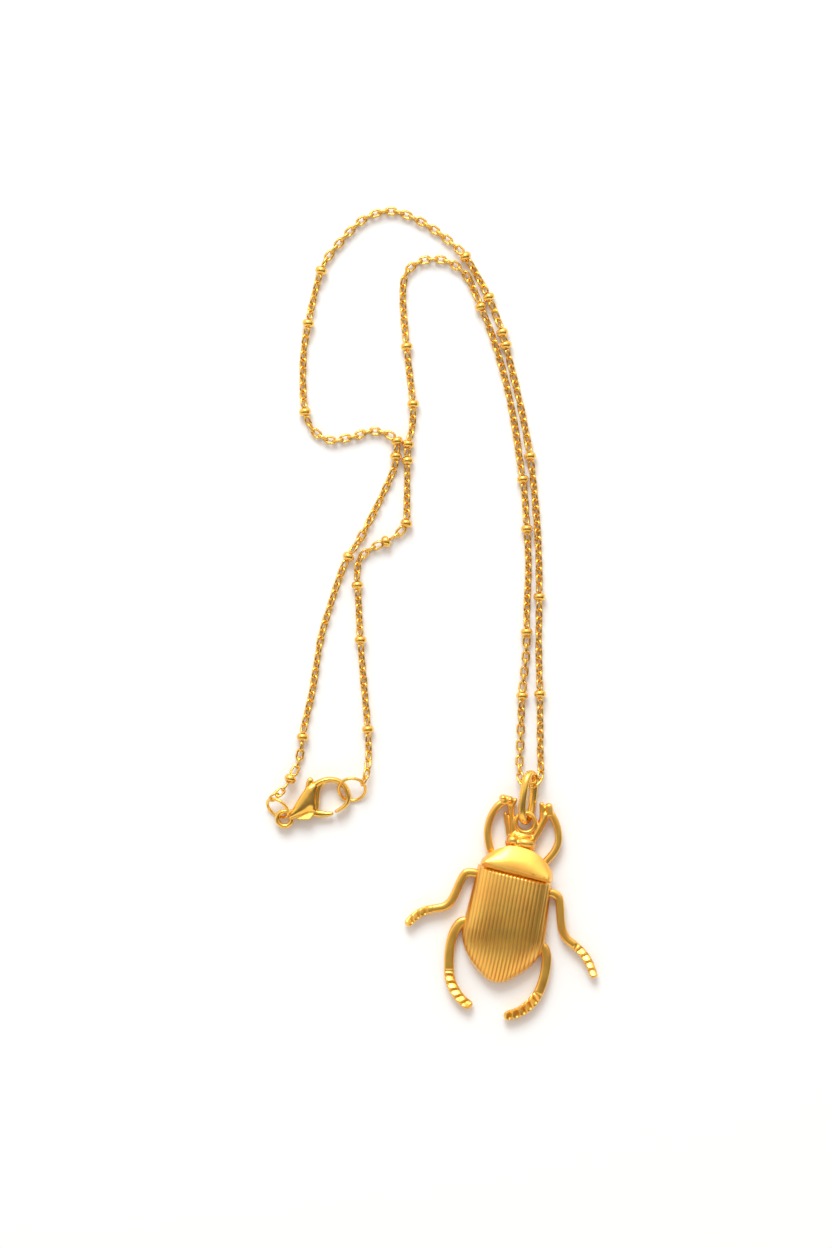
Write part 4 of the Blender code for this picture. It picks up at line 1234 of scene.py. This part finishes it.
class SCARAB_OT_chain(bpy.types.Operator):
    """Oval cable links, each a quarter turn from the last, joined run by run"""

    bl_idname = "scarab.chain"
    bl_label = "Chain links"

    def execute(self, context):
        sizes = context.scene.chain_sizes
        chance = random.Random(11)
        line = ChainLine(sizes, context.scene.pendant_sizes.bail_wire)
        pattern = first_link()
        stops = [0.0, *BEAD_PLACES, line.length]
        turn = 0
        for number, run in enumerate(runs(), 1):
            links = []
            for first, second in zip(run, run[1:]):
                start = stops[first] + (BEAD_LENGTH / 2 - LINK_SEAT if first else -LINK_WIRE)
                end = stops[second] - (BEAD_LENGTH / 2 - LINK_SEAT if second < len(stops) - 1 else -LINK_WIRE)
                count = max(1, round((end - start - 2 * LINK_WIRE) / LINK_PITCH))
                pitch = (end - start - 2 * LINK_WIRE) / count
                stretch = min(1.12, max(0.9, (pitch + 2 * LINK_WIRE) / LINK_LENGTH))
                for index in range(count):
                    mark = start + LINK_WIRE + (index + 0.5) * pitch
                    centre, along, across, rise = line.frame(mark, pitch / 2)
                    roll = math.radians(45) * (1 - looseness(mark)) + math.pi / 2 * (turn % 2)
                    roll += sizes.link_wander * chance.uniform(-1, 1)
                    wide = across * math.cos(roll) + rise * math.sin(roll)
                    matrix = axes(centre, along * stretch, wide, along.cross(wide))
                    links.append(copy_to(pattern, matrix, "link"))
                    turn += 1
            item = join(links, f"links_{number:02d}")
            close_skin(item)
            finish_piece(item, BODY, chain_gold(), [f"chain_run_{number:02d}"], 180)
        for name, ring, degrees, mark in (
            ("tail_end_link", tail_jump_ring(), TAIL_LINK_ANGLE, 0.0),
            ("hook_end_link", hook_jump_ring(), HOOK_LINK_ANGLE, line.length),
        ):
            wire_point = ring_point(ring, degrees)
            toward = line.point(mark)
            along = (toward - wire_point).normalized()
            angle = math.radians(degrees)
            through = (ring[2] * math.cos(angle) - ring[1] * math.sin(angle)).normalized()
            through = (through - along * through.dot(along)).normalized()
            centre = (wire_point + toward) / 2 - along * END_LINK_SLACK
            matrix = axes(centre, along, through.cross(along), through)
            item = copy_to(pattern, matrix, "wire_" + name)
            finish_piece(item, BODY, chain_gold(), [name], 180)
        bpy.data.objects.remove(pattern)
        return {"FINISHED"}


class SCARAB_OT_beads(bpy.types.Operator):
    """Rounded beads, threaded on the chain"""

    bl_idname = "scarab.beads"
    bl_label = "Beads"

    def execute(self, context):
        sizes = context.scene.chain_sizes
        line = ChainLine(sizes, context.scene.pendant_sizes.bail_wire)
        outer = sizes.bead_diameter / 2
        half = BEAD_LENGTH / 2
        profile = [
            (0.42, -0.30), (0.44, -0.84), (0.51, -1.0), (0.63, -0.99), (0.78, -0.84), (0.90, -0.62),
            (0.98, -0.34),
            (1.0, 0.0), (0.98, 0.34), (0.90, 0.62), (0.78, 0.84), (0.63, 0.99), (0.51, 1.0), (0.44, 0.84),
            (0.42, 0.30),
        ]

        def place(s, a):
            radius, shift = profile[round(s * len(profile)) % len(profile)]
            angle = 2 * math.pi * a
            return Vector((shift * half, math.cos(angle) * radius * outer, math.sin(angle) * radius * outer))

        pattern = skin("first_bead", len(profile), 20, place)
        for number, mark in enumerate(BEAD_PLACES, 1):
            _, along, across, rise = line.frame(mark, half)
            name = f"bead_{number:02d}"
            item = copy_to(pattern, axes(line.point(mark), along, across, rise), "rondelle_" + name[5:])
            close_skin(item)
            finish_piece(item, BODY, chain_gold(), [name], 60)
        bpy.data.objects.remove(pattern)
        return {"FINISHED"}


# Stage


CAMERA_PLACE = (-0.0028875, -0.00175, 0.5167)
KEY_PLACE = (-0.14, 0.78, 0.66)
# The room's brightness over one axis of the way out: how a smooth step joins the ones before it, its
# axis, where it starts and ends, and its values there
SKY_STEPS = (
    ("ADD", "Y", -0.07, 0.15, 0.21, 0.93),
    ("ADD", "Y", 0.42, 0.78, 0.0, 0.85),
    ("ADD", "Y", -0.60, -0.44, 1.05, 0.0),
    ("ADD", "Y", -0.95, -0.80, -0.75, 0.0),
    ("MULTIPLY", "X", 0.40, 0.90, 1.0, 0.80),
    ("ADD", "X", -0.85, -0.60, 0.40, 0.0),
    ("MULTIPLY", "Z", 0.0, 0.30, 0.5, 1.0),
)


class SCARAB_OT_stage(bpy.types.Operator):
    """Pale table, soft light and the camera straight above"""

    bl_idname = "scarab.stage"
    bl_label = "Table, light and camera"

    def execute(self, context):
        scene = context.scene
        bpy.ops.object.select_all(action="DESELECT")
        bpy.ops.mesh.primitive_plane_add(size=4, location=(0, 0, 0))
        table = named("table")
        only(table)
        bpy.ops.object.transform_apply(location=True, rotation=True, scale=True)
        table.data.materials.append(self.table_paint(scene.finish_colors))
        self.sky(scene)
        bpy.ops.object.light_add(type="AREA", location=KEY_PLACE)
        light = bpy.context.object
        light.name = "key_light"
        light.data.size = 0.5
        light.data.energy = 8.0
        light.data.color = (0.78, 0.93, 1.0)
        light.rotation_euler = (-Vector(KEY_PLACE)).to_track_quat("-Z", "Y").to_euler()
        bpy.ops.object.camera_add(location=CAMERA_PLACE, rotation=(0, 0, 0))
        camera = bpy.context.object
        camera.name = "camera"
        camera.data.type = "PERSP"
        camera.data.sensor_width = 36
        camera.data.lens = 85
        camera.data.clip_start = 0.01
        camera.data.clip_end = 20
        scene.camera = camera
        scene.view_settings.view_transform = "Standard"
        scene.view_settings.look = "None"
        return {"FINISHED"}

    def table_paint(self, colors):
        """Matt pale paint with a barely seen mottle."""
        material = bpy.data.materials.new("table_paint")
        material.use_nodes = True
        tree = material.node_tree
        shader = tree.nodes["Principled BSDF"]
        shader.inputs["Roughness"].default_value = 0.9
        shader.inputs["Specular IOR Level"].default_value = 0.1
        where = add_node(tree, "TexCoord")
        noise = add_node(tree, "TexNoise", {"Scale": 40})
        mottle = color_mix(tree, [value * 0.995 for value in colors.table], colors.table)
        wire_up(
            tree,
            (where, "Object", noise, "Vector"),
            (noise, "Fac", mottle, FACTOR),
            (mottle, MIXED, shader, "Base Color"),
        )
        return material

    def sky(self, scene):
        """A plain room, bright to the north, west and south and dim straight above and to the east."""
        world = bpy.data.worlds.new("room")
        scene.world = world
        world.use_nodes = True
        tree = world.node_tree
        shade = tree.nodes["Background"]
        shade.inputs["Color"].default_value = (1.0, 0.90, 0.83, 1)
        where = add_node(tree, "TexCoord")
        parts = add_node(tree, "SeparateXYZ")
        wire_up(tree, (where, "Generated", parts, "Vector"))
        total = None
        for operation, axis, *limits in SKY_STEPS:
            step = map_range(tree, *limits, interpolation_type="SMOOTHSTEP")
            wire_up(tree, (parts, axis, step, "Value"))
            value = (step, "Result")
            if total:
                joined = math_node(tree, operation)
                wire_up(tree, (*total, joined, 0), (*value, joined, 1))
                value = (joined, 0)
            total = value
        wire_up(tree, (*total, shade, "Strength"))


class SCARAB_PT_panel(bpy.types.Panel):
    """Sizes, colours and the steps that build the necklace"""

    bl_idname = "SCARAB_PT_panel"
    bl_label = "Scarab necklace"
    bl_space_type = "VIEW_3D"
    bl_region_type = "UI"
    bl_category = "Scarab"

    def draw(self, context):
        layout = self.layout
        scene = context.scene
        for title, group in (
            ("Pendant", scene.pendant_sizes), ("Chain", scene.chain_sizes), ("Finish", scene.finish_colors)
        ):
            box = layout.box()
            box.label(text=title)
            for name in group.__annotations__:
                box.prop(group, name)
        column = layout.column(align=True)
        for step in STEPS:
            column.operator(step.bl_idname)


STEPS = (
    SCARAB_OT_wing_cases,
    SCARAB_OT_collar,
    SCARAB_OT_thorax,
    SCARAB_OT_head,
    SCARAB_OT_legs,
    SCARAB_OT_bail,
    SCARAB_OT_clasp_body,
    SCARAB_OT_clasp_gate,
    SCARAB_OT_jump_rings,
    SCARAB_OT_chain,
    SCARAB_OT_beads,
    SCARAB_OT_stage,
)
CLASSES = (PendantSizes, ChainSizes, FinishColors, *STEPS, SCARAB_PT_panel)


def register():
    for item in CLASSES:
        bpy.utils.register_class(item)
    bpy.types.Scene.pendant_sizes = bpy.props.PointerProperty(type=PendantSizes)
    bpy.types.Scene.chain_sizes = bpy.props.PointerProperty(type=ChainSizes)
    bpy.types.Scene.finish_colors = bpy.props.PointerProperty(type=FinishColors)


def unregister():
    del bpy.types.Scene.finish_colors
    del bpy.types.Scene.chain_sizes
    del bpy.types.Scene.pendant_sizes
    for item in reversed(CLASSES):
        bpy.utils.unregister_class(item)


def main():
    register()
    for step in STEPS:
        group, name = step.bl_idname.split(".")
        getattr(getattr(bpy.ops, group), name)()


if __name__ == "__main__":
    main()
